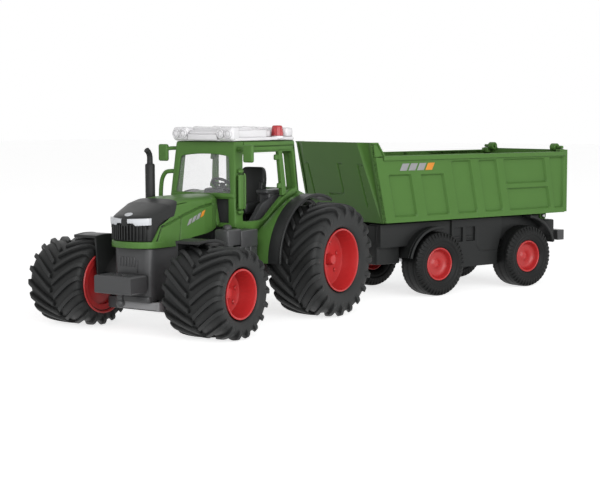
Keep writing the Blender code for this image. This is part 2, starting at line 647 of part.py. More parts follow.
def build_chassis(tractor):
    """Front block, spine and rear housing in one moulding, with the gear cavity open below."""
    chamfer = 3.0 * MM
    keel_rise = 16.0 * MM
    nose = [(BLOCK_FRONT_Y, BLOCK_BOTTOM_Z + chamfer), (BLOCK_FRONT_Y, BLOCK_TOP_Z)]
    nose += [(BLOCK_REAR_Y, BLOCK_TOP_Z), (BLOCK_REAR_Y, SPINE_BOTTOM_Z)]
    nose += [(BLOCK_REAR_Y - keel_rise, BLOCK_BOTTOM_Z)]
    nose += [(BLOCK_FRONT_Y + chamfer, BLOCK_BOTTOM_Z)]
    block = prism(nose, "X", -BLOCK_HALF, BLOCK_HALF)
    spine = box(
        (-SPINE_HALF, BLOCK_REAR_Y - OVERLAP, SPINE_BOTTOM_Z),
        (SPINE_HALF, HOUSING_FRONT_Y + OVERLAP, SPINE_TOP_Z),
    )
    outline = rounded(rectangle(HOUSING_HALF, HOUSING_BOTTOM_Z, HOUSING_TOP_Z), chamfer)
    housing = prism(outline, "Y", HOUSING_FRONT_Y, HOUSING_REAR_Y)
    root_y = HOUSING_REAR_Y - OVERLAP
    tongue_outline = [(-TONGUE_HALF, root_y), (TONGUE_HALF, root_y)]
    tongue_outline += arc((0, HITCH_Y), TONGUE_HALF, 0, math.pi, 8)
    tongue = prism(tongue_outline, "Z", TONGUE_TOP_Z - TONGUE_THICK, TONGUE_TOP_Z)
    inner = HOUSING_HALF - HOUSING_WALL
    end_wall = 2 * HOUSING_WALL
    cavity = box(
        (-inner, HOUSING_FRONT_Y + end_wall, HOUSING_BOTTOM_Z - OVERLAP),
        (inner, HOUSING_REAR_Y - end_wall, HOUSING_TOP_Z - HOUSING_WALL),
    )
    reach = HOUSING_HALF + OVERLAP
    bore_ends = [(side * reach, WHEELBASE, REAR_TYRE_RADIUS) for side in (-1, 1)]
    bore = rod(*bore_ends, AXLE_RADIUS + RUNNING)
    pin_hole = rod(
        (0, HITCH_Y, TONGUE_TOP_Z - TONGUE_THICK - OVERLAP),
        (0, HITCH_Y, TONGUE_TOP_Z + OVERLAP),
        HITCH_PIN_RADIUS + GAP,
    )
    slots = block_slots()
    piece("chassis", tractor, GREY, block, [spine, housing, tongue], [cavity, bore, pin_hole, *slots])
    lid_half = HOUSING_HALF - LID_MARGIN
    lid_y = (HOUSING_FRONT_Y + HOUSING_WALL, HOUSING_REAR_Y - HOUSING_WALL)
    lid = [(-lid_half, lid_y[0]), (lid_half, lid_y[0]), (lid_half, lid_y[1]), (-lid_half, lid_y[1])]
    lid_top = HOUSING_BOTTOM_Z - GAP
    piece("belly_cover", tractor, GREY, prism(rounded(lid, HOUSING_WALL), "Z", lid_top - LID_THICK, lid_top))


def block_slots():
    """Upright cooling slots in the front block's face, above the weight."""
    count = 3
    pitch = 9.0 * MM
    half = 1.3 * MM
    depth = 1.0 * MM
    slots = []
    for index in range(count):
        x = (index - (count - 1) / 2) * pitch
        slots.append(box((x - half, BLOCK_FRONT_Y - OVERLAP, WEIGHT_TOP_Z + 4 * MM),
                         (x + half, BLOCK_FRONT_Y + depth, BLOCK_TOP_Z - 4 * MM)))
    return slots


def gear_outline(teeth, phase):
    """Straight-flanked teeth about the origin, thin enough to leave ample backlash."""
    pitch = GEAR_MODULE * teeth / 2
    outer = pitch + 0.8 * GEAR_MODULE
    root = pitch - 1.1 * GEAR_MODULE
    outline = []
    for tooth in range(teeth):
        centre = phase + math.tau * tooth / teeth
        step = math.tau / teeth
        for radius, offset in ((root, -0.30), (outer, -0.12), (outer, 0.12), (root, 0.30)):
            angle = centre + offset * step
            outline.append((radius * math.cos(angle), radius * math.sin(angle)))
    return outline


def build_drive(tractor, rear_wheels, pinion_frame):
    """Gear on the rear axle, the pinion that drives it and the motor behind the pinion."""
    reach = REAR_FACE_X - TRACTOR_DISH - 1 * MM
    piece("rear_axle", rear_wheels, STEEL, rod((-reach, 0, 0), (reach, 0, 0), AXLE_RADIUS))
    gear_bore = rod((-2 * GEAR_HALF, 0, 0), (2 * GEAR_HALF, 0, 0), AXLE_RADIUS + GAP)
    gear = prism(gear_outline(GEAR_TEETH, 0.0), "X", -GEAR_HALF, GEAR_HALF)
    piece("drive_gear", rear_wheels, WHITE, gear, cuts=[gear_bore])
    half_tooth = math.pi / PINION_TEETH
    pinion = prism(gear_outline(PINION_TEETH, half_tooth), "X", -GEAR_HALF, GEAR_HALF)
    shaft_bore = rod((-2 * GEAR_HALF, 0, 0), (2 * GEAR_HALF, 0, 0), MOTOR_SHAFT_RADIUS + RUNNING)
    piece("motor_pinion", pinion_frame, WHITE, pinion, cuts=[shaft_bore])
    start = GEAR_HALF + 1.5 * MM
    centre = pinion_frame.location
    place = (centre.y, centre.z)
    can = rod((start, *place), (start + MOTOR_LENGTH, *place), MOTOR_RADIUS, 16)
    shaft = rod((-GEAR_HALF, *place), (start + OVERLAP, *place), MOTOR_SHAFT_RADIUS)
    saddle = box(
        (start + 1 * MM, centre.y - 5 * MM, centre.z),
        (start + MOTOR_LENGTH - 1 * MM, centre.y + 5 * MM, HOUSING_TOP_Z - HOUSING_WALL - GAP),
    )
    piece("motor", tractor, STEEL, can, [shaft, saddle])


def build_steering(tractor, knuckles, tie_frame):
    """Front beam with kingpin holes, a knuckle at each end and the tie rod that links them."""
    beam_end = KINGPIN_X + KNUCKLE_RADIUS
    beam_top = BLOCK_BOTTOM_Z - GAP
    outline = rounded(
        [(-beam_end, -BEAM_HALF_DEPTH), (beam_end, -BEAM_HALF_DEPTH),
         (beam_end, BEAM_HALF_DEPTH), (-beam_end, BEAM_HALF_DEPTH)], 4 * MM,
    )
    holes = [
        rod((side * KINGPIN_X, 0, BEAM_BOTTOM_Z - OVERLAP), (side * KINGPIN_X, 0, beam_top + OVERLAP),
            KINGPIN_RADIUS + RUNNING)
        for side in (1, -1)
    ]
    piece("front_axle", tractor, GREY, prism(outline, "Z", BEAM_BOTTOM_Z, beam_top), cuts=holes)
    tie_top = beam_top
    for name, side, knuckle in knuckles:
        base = BLOCK_BOTTOM_Z + GAP
        axle_z = FRONT_TYRE_RADIUS
        post_top = axle_z + KNUCKLE_RADIUS + 1 * MM
        post = rod((0, 0, base), (0, 0, post_top), KNUCKLE_RADIUS)
        pin = rod((0, 0, BEAM_BOTTOM_Z + 1 * MM), (0, 0, base + OVERLAP), KINGPIN_RADIUS)
        stub_end = side * (FRONT_FACE_X - KINGPIN_X - TRACTOR_DISH + 1 * MM)
        stub = rod((0, 0, axle_z), (stub_end, 0, axle_z), STUB_RADIUS)
        arm = box((-3 * MM, 0, base), (3 * MM, ARM_LENGTH + 3 * MM, base + 3 * MM))
        tie_pin = rod((0, ARM_LENGTH, tie_top - TIE_THICK), (0, ARM_LENGTH, base + OVERLAP), TIE_PIN_RADIUS)
        tab_end = side * (FRONT_FENDER_INNER_X - GAP - KINGPIN_X)
        tab = box(
            (min(0, tab_end), -4 * MM, post_top - 4 * MM), (max(0, tab_end), 4 * MM, post_top),
        )
        piece(f"knuckle_{name}", knuckle, BLACK, post, [pin, stub, arm, tie_pin, tab])
        front_fender(name, side, knuckle, post_top)
    slot_half = TIE_PIN_RADIUS + RUNNING
    bar = box(
        (-KINGPIN_X - 3.5 * MM, ARM_LENGTH - 3.5 * MM, tie_top - TIE_THICK),
        (KINGPIN_X + 3.5 * MM, ARM_LENGTH + 3.5 * MM, tie_top),
    )
    slots = []
    for side in (1, -1):
        x = side * KINGPIN_X
        low = (x - slot_half, ARM_LENGTH - slot_half - TIE_SLOT, tie_top - TIE_THICK - OVERLAP)
        high = (x + slot_half, ARM_LENGTH + slot_half + TIE_SLOT, tie_top + OVERLAP)
        slots.append(box(low, high))
    piece("tie_rod", tie_frame, BLACK, bar, cuts=slots)


def front_fender(name, side, knuckle, post_top):
    """Thin mudguard over the tyre with a plate down its inner side, carried by the knuckle."""
    inner_radius = FRONT_TYRE_RADIUS + FRONT_FENDER_GAP
    outer_radius = inner_radius + FRONT_FENDER_THICK
    centre = (0, FRONT_TYRE_RADIUS)
    start, end = FRONT_FENDER_START, FRONT_FENDER_END
    inner_x = FRONT_FENDER_INNER_X - KINGPIN_X
    outline = arc(centre, outer_radius, start, end, 6) + arc(centre, inner_radius, end, start, 6)
    guard = prism(outline, "X", *sorted((side * inner_x, side * (inner_x + FRONT_FENDER_WIDTH))))
    foot_z = post_top - 3.5 * MM
    foot_rear_y = 9.0 * MM
    plate_outline = [(outer_radius * math.cos(start) + 0.4 * MM, foot_z), (foot_rear_y, foot_z)]
    plate_outline += arc(centre, inner_radius + 0.5 * MM, math.radians(74), start, 6)
    plate = prism(plate_outline, "X", *sorted((side * inner_x, side * (inner_x + FRONT_FENDER_THICK))))
    piece(f"front_fender_{name}", knuckle, BLACK, guard, [plate])


def build_front_weight(tractor):
    """Ballast block on the nose: chamfered block, neck to the chassis, top slot and a hook pin below."""
    front, rear, low, high = WEIGHT_FRONT_Y, WEIGHT_REAR_Y, WEIGHT_LOW_Z, WEIGHT_TOP_Z
    chamfer = WEIGHT_CHAMFER
    margin = 1.5 * MM
    outline = [(front, low + chamfer), (front, high - chamfer), (front + chamfer, high), (rear, high)]
    outline += [(rear, low), (front + chamfer, low)]
    block = prism(outline, "X", -WEIGHT_HALF, WEIGHT_HALF)
    neck = box((-WEIGHT_NECK_HALF, rear - OVERLAP, low + margin),
               (WEIGHT_NECK_HALF, BLOCK_FRONT_Y - GAP, high - margin))
    slot_half, slot_start, slot_end = WEIGHT_SLOT
    slot = box((-slot_half, front + slot_start, high - WEIGHT_SLOT_DEPTH),
               (slot_half, front + slot_end, high + OVERLAP))
    pin_y = (front + rear) / 2
    pin = rod((0, pin_y, HOOK_BALL_Z), (0, pin_y, low + OVERLAP), HOOK_PIN_RADIUS)
    ball = sweep(
        [(0, pin_y, HOOK_BALL_Z + rise * HOOK_BALL_RADIUS) for rise in (-1.0, -0.5, 0.5, 1.0)],
        [spread * HOOK_BALL_RADIUS for spread in (0.4, 0.95, 0.95, 0.4)], 8,
    )
    piece("front_weight", tractor, GREY, block, [neck, pin, ball], [slot])


def build_side_tanks(tractor):
    """Ribbed tanks beside the spine, under the cab's front corners, with a filler cap on top."""
    front, rear = TANK_FRONT_Y, TANK_REAR_Y
    low, shelf, top = TANK_LOW_Z, TANK_SHELF_Z, TANK_TOP_Z
    corner = 3.0 * MM
    upper_inner = CAB_HALF + 1.2 * MM
    rib_offsets = (6.0 * MM, 14.0 * MM, 22.0 * MM)
    for name, side in (("left", 1), ("right", -1)):
        xs = sorted(side * x for x in (SPINE_HALF + GAP, TANK_OUTER_X))
        body = prism(rounded([(front, low), (rear, low), (rear, shelf), (front, shelf)], corner), "X", *xs)
        upper_x = sorted(side * x for x in (upper_inner, TANK_OUTER_X))
        upper = box((upper_x[0], front + 1 * MM, shelf - OVERLAP), (upper_x[1], rear - 1 * MM, top))
        centre = (side * (upper_inner + TANK_OUTER_X) / 2, front + 8 * MM)
        cap = rod((*centre, top - OVERLAP), (*centre, top + TANK_CAP_HEIGHT), TANK_CAP_RADIUS)
        rib_x = sorted((side * (TANK_OUTER_X - OVERLAP), side * (TANK_OUTER_X + TANK_RIB)))
        ribs = []
        for offset in rib_offsets:
            start = front + offset
            end = start + TANK_RIB_WIDTH
            ribs.append(box((rib_x[0], start, low + 5 * MM), (rib_x[1], end, top - 3 * MM)))
        piece(f"side_tank_{name}", tractor, GREY, body, [upper, cap, *ribs])


def build_hitch_pin(tractor):
    """Drop pin through the tongue and the drawbar eye, held by its head."""
    seat = TONGUE_TOP_Z + GAP + DRAWBAR_THICK + GAP
    foot = TONGUE_TOP_Z - TONGUE_THICK - 2 * MM
    shank = rod((0, HITCH_Y, foot), (0, HITCH_Y, seat + OVERLAP), HITCH_PIN_RADIUS)
    head = rod((0, HITCH_Y, seat), (0, HITCH_Y, seat + HITCH_PIN_HEAD), 2.2 * HITCH_PIN_RADIUS)
    piece("hitch_pin", tractor, STEEL, shank, [head])


# Hood


def along_hood(stations, y):
    """Value at y, read between stations of (y, value)."""
    places, values = zip(*stations)
    return float(np.interp(y, places, values))


def hood_section(y, drop, low=None):
    """Cross-section of the hood at y, with its top let down by drop to take the black panel."""
    half = along_hood(HOOD_HALF, y)
    crown = along_hood(HOOD_CROWN, y) - drop
    roll = along_hood(HOOD_ROLL, y)
    base = along_hood(HOOD_EDGE, y) if low is None else low
    shoulder = crown - roll
    points = [(half - 0.8 * MM, y, base), (half, y, base + 2 * MM), (half - 0.4 * MM, y, shoulder - 3 * MM)]
    points += [(half - 2.0 * MM, y, shoulder), (half * 0.62, y, crown - 0.15 * roll)]
    return mirrored(points)


def panel_section(y):
    """Cross-section of the black panel: the hood's crown with one panel thickness below it."""
    half = along_hood(HOOD_HALF, y)
    crown = along_hood(HOOD_CROWN, y)
    roll = along_hood(HOOD_ROLL, y)
    points = [(half - 2.0 * MM, y, crown - roll), (half * 0.62, y, crown - 0.15 * roll)]
    upper = mirrored(points)
    return upper + [(x, y, z - PANEL_THICK) for x, y, z in reversed(upper)]


def build_hood(tractor):
    """Green hood with a chin band, black top panel, barred nose and two headlights."""
    drop = PANEL_THICK + GAP
    stations = [(HOOD_FRONT_Y + GAP, drop), (3 * MM, drop), (PANEL_REAR_Y, drop), (PANEL_REAR_Y + GAP, 0.0)]
    stations += [(y, 0.0) for y, half in HOOD_HALF if y > PANEL_REAR_Y]
    hood = loft([hood_section(y, fall) for y, fall in stations])
    chin_low = along_hood(HOOD_HALF, BLOCK_FRONT_Y)
    chin_outline = mirrored([(15.4 * MM, BLOCK_FRONT_Y - 2.6 * MM), (chin_low, BLOCK_FRONT_Y + 0.5 * MM),
                             (20.6 * MM, HOOD_FRONT_Y + OVERLAP)])
    chin = prism(chin_outline, "Z", CHIN_BOTTOM_Z, CHIN_TOP_Z - GAP)
    piece("hood", tractor, GREEN, hood, [chin])
    panel_stations = (PANEL_FRONT_Y, -15.5 * MM, HOOD_FRONT_Y, 3 * MM, PANEL_REAR_Y - GAP)
    piece("hood_top", tractor, BLACK, loft([panel_section(y) for y in panel_stations]))
    nose_stations = (NOSE_FRONT_Y, -15.5 * MM, HOOD_FRONT_Y)
    nose = loft([hood_section(y, drop, CHIN_TOP_Z) for y in nose_stations])
    pitch = 2 * GRILLE_HALF / GRILLE_BARS
    slot_half = 0.3 * pitch
    slots = []
    for index in range(GRILLE_BARS):
        x = -GRILLE_HALF + (index + 0.5) * pitch
        slots.append(box(
            (x - slot_half, NOSE_FRONT_Y - OVERLAP, CHIN_TOP_Z + 1.6 * MM),
            (x + slot_half, NOSE_FRONT_Y + GRILLE_DEPTH, LAMP_BOTTOM_Z - 1.2 * MM),
        ))
    pocket_back = NOSE_FRONT_Y + LAMP_DEPTH
    pockets = []
    for side in (1, -1):
        xs = sorted((side * LAMP_HALF_GAP, side * CAB_HALF))
        pockets.append(box((xs[0], NOSE_FRONT_Y - OVERLAP, LAMP_BOTTOM_Z), (xs[1], pocket_back, CAB_TOP_Z)))
    piece("grille", tractor, BLACK, nose, cuts=slots + pockets)
    lamp_top = along_hood(HOOD_CROWN, NOSE_FRONT_Y) - along_hood(HOOD_ROLL, NOSE_FRONT_Y) - drop - GAP
    lamp_inner = LAMP_HALF_GAP + GAP
    lamp_outer = along_hood(HOOD_HALF, NOSE_FRONT_Y) - 1.1 * MM
    for name, side in (("left", 1), ("right", -1)):
        outline = [(lamp_inner, pocket_back - GAP), (lamp_inner, NOSE_FRONT_Y), (lamp_outer, NOSE_FRONT_Y),
                   (lamp_outer + LAMP_DEPTH, pocket_back - GAP)]
        lamp = prism([(side * x, y) for x, y in outline], "Z", LAMP_BOTTOM_Z + GAP, lamp_top)
        piece(f"headlight_{name}", tractor, LAMP, lamp)


# Cab


def build_cab(tractor):
    """Green cab frame with open doors, foot windows and rear window, and the flares over the rear wheels."""
    centre = (WHEELBASE, REAR_TYRE_RADIUS)
    tunnel = FENDER_RADIUS - FENDER_THICK
    flare_radius = tunnel + FLARE_THICK
    step = 6.0 * MM
    below = 40.0 * MM
    waist_z = REAR_WINDOW_BOTTOM_Z - 2 * MM
    band = arc(centre, tunnel, FENDER_END, math.radians(152), 8)
    outline = [(CAB_FRONT_Y, CAB_SILL_Z + step), (CAB_FRONT_Y, CAB_TOP_Z), (CAB_REAR_TOP_Y, CAB_TOP_Z)]
    outline += [(CAB_REAR_BASE_Y, waist_z)] + band + [(CAB_FRONT_Y + step, CAB_SILL_Z)]
    shell = prism(outline, "X", -CAB_HALF, CAB_HALF)
    flare = arc(centre, flare_radius, FENDER_START, FENDER_END, 11)
    flare += arc(centre, tunnel, FENDER_END, FENDER_START, 11)
    wall = CAB_HALF - CAB_WALL
    joins = [prism(flare, "X", *sorted((side * (wall - GAP), side * FLARE_X))) for side in (1, -1)]
    joins += hinge_lumps()
    room_front = CAB_FRONT_Y + CAB_WALL
    room_top = CAB_TOP_Z - CAB_WALL
    room_rear = CAB_REAR_BASE_Y - CAB_WALL
    room_outline = [(room_front, below), (room_front, room_top), (CAB_REAR_TOP_Y - CAB_WALL, room_top)]
    room_outline += [(room_rear, waist_z), (room_rear, below)]
    room = prism(room_outline, "X", -wall, wall)
    sill = arc(centre, flare_radius + DOOR_SILL, math.radians(78), math.radians(141), 8)
    door = [(DOOR_FRONT_Y, DOOR_BOTTOM_Z), (DOOR_FRONT_Y, DOOR_TOP_Z), (DOOR_REAR_Y, DOOR_TOP_Z)] + sill
    door += [(DOOR_STEP_Y, DOOR_BOTTOM_Z)]
    doors = prism(door, "X", -CAB_HALF - OVERLAP, CAB_HALF + OVERLAP)
    through = (CAB_FRONT_Y - OVERLAP, room_front + OVERLAP)
    windows = [prism(windshield_outline(0.0), "Y", *through)]
    for side in (1, -1):
        xs = sorted(side * x for x in FOOT_WINDOW_X)
        windows.append(box((xs[0], through[0], FOOT_WINDOW_Z[0]), (xs[1], through[1], FOOT_WINDOW_Z[1])))
    rear = rounded(rectangle(WINDSHIELD_HALF, REAR_WINDOW_BOTTOM_Z, DOOR_TOP_Z), 3 * MM)
    windows.append(prism(rear, "Y", CAB_REAR_TOP_Y - 3 * CAB_WALL, CAB_REAR_BASE_Y + OVERLAP))
    piece("cab", tractor, GREEN, shell, joins, [room, doors, *windows])
    sunk = 0.6 * MM
    glass = prism(windshield_outline(GAP), "Y", CAB_FRONT_Y + sunk, room_front - sunk)
    piece("windshield", tractor, GLASS, glass)


def hinge_lumps():
    """Round hinge lumps that stand out sideways from the two rear pillars."""
    lean = (CAB_REAR_BASE_Y - CAB_REAR_TOP_Y) / (CAB_TOP_Z - REAR_WINDOW_BOTTOM_Z)
    lumps = []
    for side in (1, -1):
        for z in HINGE_Z:
            y = CAB_REAR_TOP_Y + lean * (CAB_TOP_Z - z) - 3 * MM
            x = side * CAB_HALF
            lumps.append(rod((x, y, z - HINGE_HALF), (x, y, z + HINGE_HALF), HINGE_RADIUS, 8))
    return lumps


def windshield_outline(inset):
    """Front window seen along Y: narrower and softly arched at the top."""
    bottom = WINDSHIELD_HALF - inset
    top = bottom - WINDSHIELD_TAPER
    low = WINDSHIELD_BOTTOM_Z + inset
    high = WINDSHIELD_TOP_Z - inset
    spring = high - WINDSHIELD_ARCH
    right = [(bottom, low), (top, spring), (top * 0.5, high)]
    return mirrored(right)


def build_roof(tractor):
    """Clear roof moulding with paired lamps at its front, and the beacon on a pad at its left rear."""
    sections = []
    for height, inset in ROOF_SECTIONS:
        half = ROOF_HALF - inset
        front, rear = ROOF_FRONT_Y + inset, ROOF_REAR_Y - inset
        corners = [(-half, front), (half, front), (half, rear), (-half, rear)]
        sections.append([(x, y, height) for x, y in rounded(corners, ROOF_CORNER)])
    lamps = []
    for side in (1, -1):
        for x in ROOF_LAMP_X:
            ends = [(side * x, ROOF_FRONT_Y + y, ROOF_LAMP_Z) for y in (-ROOF_LAMP_PROUD, 2 * MM)]
            lamps.append(rod(*ends, ROOF_LAMP_RADIUS))
    reach = BEACON_PAD_HALF
    pad = box((BEACON_X - reach, BEACON_Y - reach, BEACON_PAD_Z),
              (ROOF_HALF + OVERLAP, BEACON_Y + reach, ROOF_TOP_Z + OVERLAP))
    piece("roof", tractor, WHITE, loft(sections), lamps, [pad])
    foot, neck = BEACON_PAD_Z + GAP, BEACON_PAD_Z + 2 * MM
    base = rod((BEACON_X, BEACON_Y, foot), (BEACON_X, BEACON_Y, neck), BEACON_BASE_RADIUS)
    dome = rod((BEACON_X, BEACON_Y, neck - OVERLAP), (BEACON_X, BEACON_Y, BEACON_PAD_Z + BEACON_HEIGHT),
               BEACON_RADIUS, 12, BEACON_TIP_RADIUS)
    piece("beacon", tractor, BEACON_RED, base, [dome])


def build_cab_fittings(tractor):
    """Mirrors on arms, flat grab rails on the front pillars and the exhaust beside the hood."""
    for name, side in (("left", 1), ("right", -1)):
        foot = side * (CAB_HALF + GAP)
        build_mirror(name, side, foot, tractor)
        build_grab_rail(name, side, foot, tractor)
    build_exhaust(tractor)


def build_mirror(name, side, foot, tractor):
    low, high = MIRROR_Z
    xs = sorted(side * x for x in MIRROR_X)
    outline = rounded([(xs[0], low), (xs[1], low), (xs[1], high), (xs[0], high)], 1.5 * MM)
    plate = prism(outline, "Y", MIRROR_Y - MIRROR_THICK / 2, MIRROR_Y + MIRROR_THICK / 2)
    arm_y = CAB_FRONT_Y + 2.8 * MM
    elbow = side * (CAB_HALF + 5 * MM)
    arm_path = [(foot, arm_y, MIRROR_ARM_Z), (elbow, arm_y, MIRROR_ARM_Z)]
    arm_path += [(side * (MIRROR_X[0] + 2.4 * MM), MIRROR_Y, MIRROR_ARM_Z)]
    piece(f"mirror_{name}", tractor, GREEN, plate, [sweep(arm_path, [MIRROR_ARM_RADIUS] * 3, 8)])


def build_grab_rail(name, side, foot, tractor):
    """Upright bar of flat section, held off the pillar by two round feet."""
    near = foot + side * RAIL_STAND
    xs = sorted((near, near + side * RAIL_THICK))
    corners = [(xs[0], RAIL_Y[0]), (xs[1], RAIL_Y[0]), (xs[1], RAIL_Y[1]), (xs[0], RAIL_Y[1])]
    outline = rounded(corners, 0.8 * MM)
    middle = sum(RAIL_Y) / 2
    inset = RAIL_FOOT_RADIUS + 1 * MM
    feet = [
        rod((foot, middle, z), (near + side * OVERLAP, middle, z), RAIL_FOOT_RADIUS, 8)
        for z in (RAIL_Z[0] + inset, RAIL_Z[1] - inset)
    ]
    piece(f"grab_rail_{name}", tractor, GREEN, prism(outline, "Z", *RAIL_Z), feet)


def build_exhaust(tractor):
    """Pipe out of the hood's side, a thicker silencer and a bent tail pipe."""
    x, y = EXHAUST_X, EXHAUST_Y
    foot, low, high, bend, tip = EXHAUST_Z
    step = 1.5 * MM
    start = -along_hood(HOOD_HALF, y) - GAP
    path = [(start, y, foot), (x + 1 * MM, y, foot + 0.6 * MM), (x, y, foot + 3 * MM)]
    path += [(x, y, low), (x, y, low + step), (x, y, high), (x, y, high + step), (x, y, bend)]
    path += [(x - 1 * MM, y - step, tip - 0.8 * MM), (x - 2.6 * MM, y - 3.9 * MM, tip)]
    radii = [EXHAUST_PIPE_RADIUS] * 4 + [EXHAUST_RADIUS] * 2 + [EXHAUST_PIPE_RADIUS] * 4
    piece("exhaust", tractor, BLACK, sweep(path, radii, 8))


def build_interior(tractor):
    """Dark floor tub with fire wall, dash and side console, the driver's seat and the steering wheel."""
    half = CAB_HALF - CAB_WALL - GAP
    front = DASH_FRONT_Y
    rear = CAB_REAR_TOP_Y - 2.1 * MM
    base = FLOOR_TOP_Z - OVERLAP
    floor = box((-half, front, HOUSING_TOP_Z + GAP), (half, rear, FLOOR_TOP_Z))
    fire_wall = box((-half, front, base), (half, front + 2 * MM, FOOT_WINDOW_Z[1] + 2 * MM))
    joins = [fire_wall]
    for side in (1, -1):
        xs = sorted((side * (half - ARCH_WIDTH), side * half))
        outline = [(WHEELBASE - 41.8 * MM, base), (WHEELBASE - 23.8 * MM, ARCH_TOP_Z - 7 * MM)]
        outline += [(WHEELBASE - 5.8 * MM, ARCH_TOP_Z), (rear, ARCH_TOP_Z), (rear, base)]
        joins.append(prism(outline, "X", *xs))
    dash_outline = [(front, base), (front, DASH_TOP_Z - 2 * MM), (front + 7 * MM, DASH_TOP_Z)]
    dash_outline += [(front + 12 * MM, DASH_TOP_Z - 5 * MM), (front + 8 * MM, base)]
    joins.append(prism(dash_outline, "X", -DASH_HALF, DASH_HALF))
    console_x = (SEAT_HALF + 1.7 * MM, SEAT_HALF + 9.0 * MM)
    console_y = (WHEELBASE - 13.8 * MM, WHEELBASE + 10.2 * MM)
    joins.append(box((console_x[0], console_y[0], base), (console_x[1], console_y[1], ARCH_TOP_Z - 3 * MM)))
    piece("interior", tractor, BLACK, floor, joins)
    build_seat(tractor)
    build_steering_wheel(tractor)


def build_seat(tractor):
    """Seat on a pedestal: a cushion with raised bolsters and a leaning back that narrows to a round top."""
    front = WHEELBASE - 19.8 * MM
    rear = WHEELBASE + 6.2 * MM
    low, high = SEAT_TOP_Z - 38 * MM, SEAT_TOP_Z - 30 * MM
    lean = 8.0 * MM
    back_thick = 6.0 * MM
    pedestal = box((-6 * MM, front + 7 * MM, FLOOR_TOP_Z + GAP), (6 * MM, rear - 3 * MM, low + OVERLAP))
    inner = SEAT_HALF - SEAT_BOLSTER
    raised = high + 1.5 * MM
    section = mirrored([(SEAT_HALF, low), (SEAT_HALF, raised), (inner, raised), (inner - 1.5 * MM, high)])
    cushion = prism(section, "Y", front, rear)
    shoulder = SEAT_TOP_Z - 7 * MM
    outline = [(-SEAT_HALF, low + 4 * MM), (SEAT_HALF, low + 4 * MM), (SEAT_HALF, shoulder)]
    outline += arc((0, shoulder), 0.62 * SEAT_HALF, 0.0, math.pi, 6) + [(-SEAT_HALF, shoulder)]
    tilt = [(z - low) / (SEAT_TOP_Z - low) * lean for x, z in outline]
    layers = []
    for depth in (0.0, back_thick):
        layers.append([(x, rear - back_thick + depth + y, z) for (x, z), y in zip(outline, tilt)])
    piece("seat", tractor, BLACK, pedestal, [cushion, loft(layers)])


def build_steering_wheel(tractor):
    """Ring, two spokes and column about Z, then leant towards the driver and set on the dash."""
    ring_radius = 7.2 * MM
    bar = 1.0 * MM
    ring_profile = arc((0, ring_radius), bar, 0, math.tau * 4 / 5, 4)
    ring = turned(ring_profile, 12)
    across = box((-0.5 * MM, -ring_radius, -0.9 * MM), (0.5 * MM, ring_radius, 0.9 * MM))
    down = box((-0.4 * MM, -0.8 * MM, -ring_radius), (0.4 * MM, 0.8 * MM, 0))
    column = rod((-COLUMN_LENGTH, 0, 0), (1 * MM, 0, 0), 1.8 * MM, 8)
    wheel = piece("steering_wheel", tractor, BLACK, column, [across, down, ring])
    lean = Vector((0, 0.55, 0.83)).normalized()
    side = Vector((1, 0, 0))
    turn = Matrix((lean, side, lean.cross(side))).transposed().to_4x4()
    centre = (0, DASH_FRONT_Y + 22.9 * MM, DASH_TOP_Z + 1.5 * MM)
    wheel.data.transform(Matrix.Translation(centre) @ turn)


def build_rear_fenders(tractor):
    """Black mudguards that carry on the flares outward over the rear tyres."""
    centre = (WHEELBASE, REAR_TYRE_RADIUS)
    outline = arc(centre, FENDER_RADIUS, FENDER_START, FENDER_END, 11)
    outline += arc(centre, FENDER_RADIUS - FENDER_THICK, FENDER_END, FENDER_START, 11)
    for name, side in (("left", 1), ("right", -1)):
        xs = sorted(side * x for x in (FLARE_X + GAP, FENDER_X))
        piece(f"rear_fender_{name}", tractor, BLACK, prism(outline, "X", *xs))


# Trailer


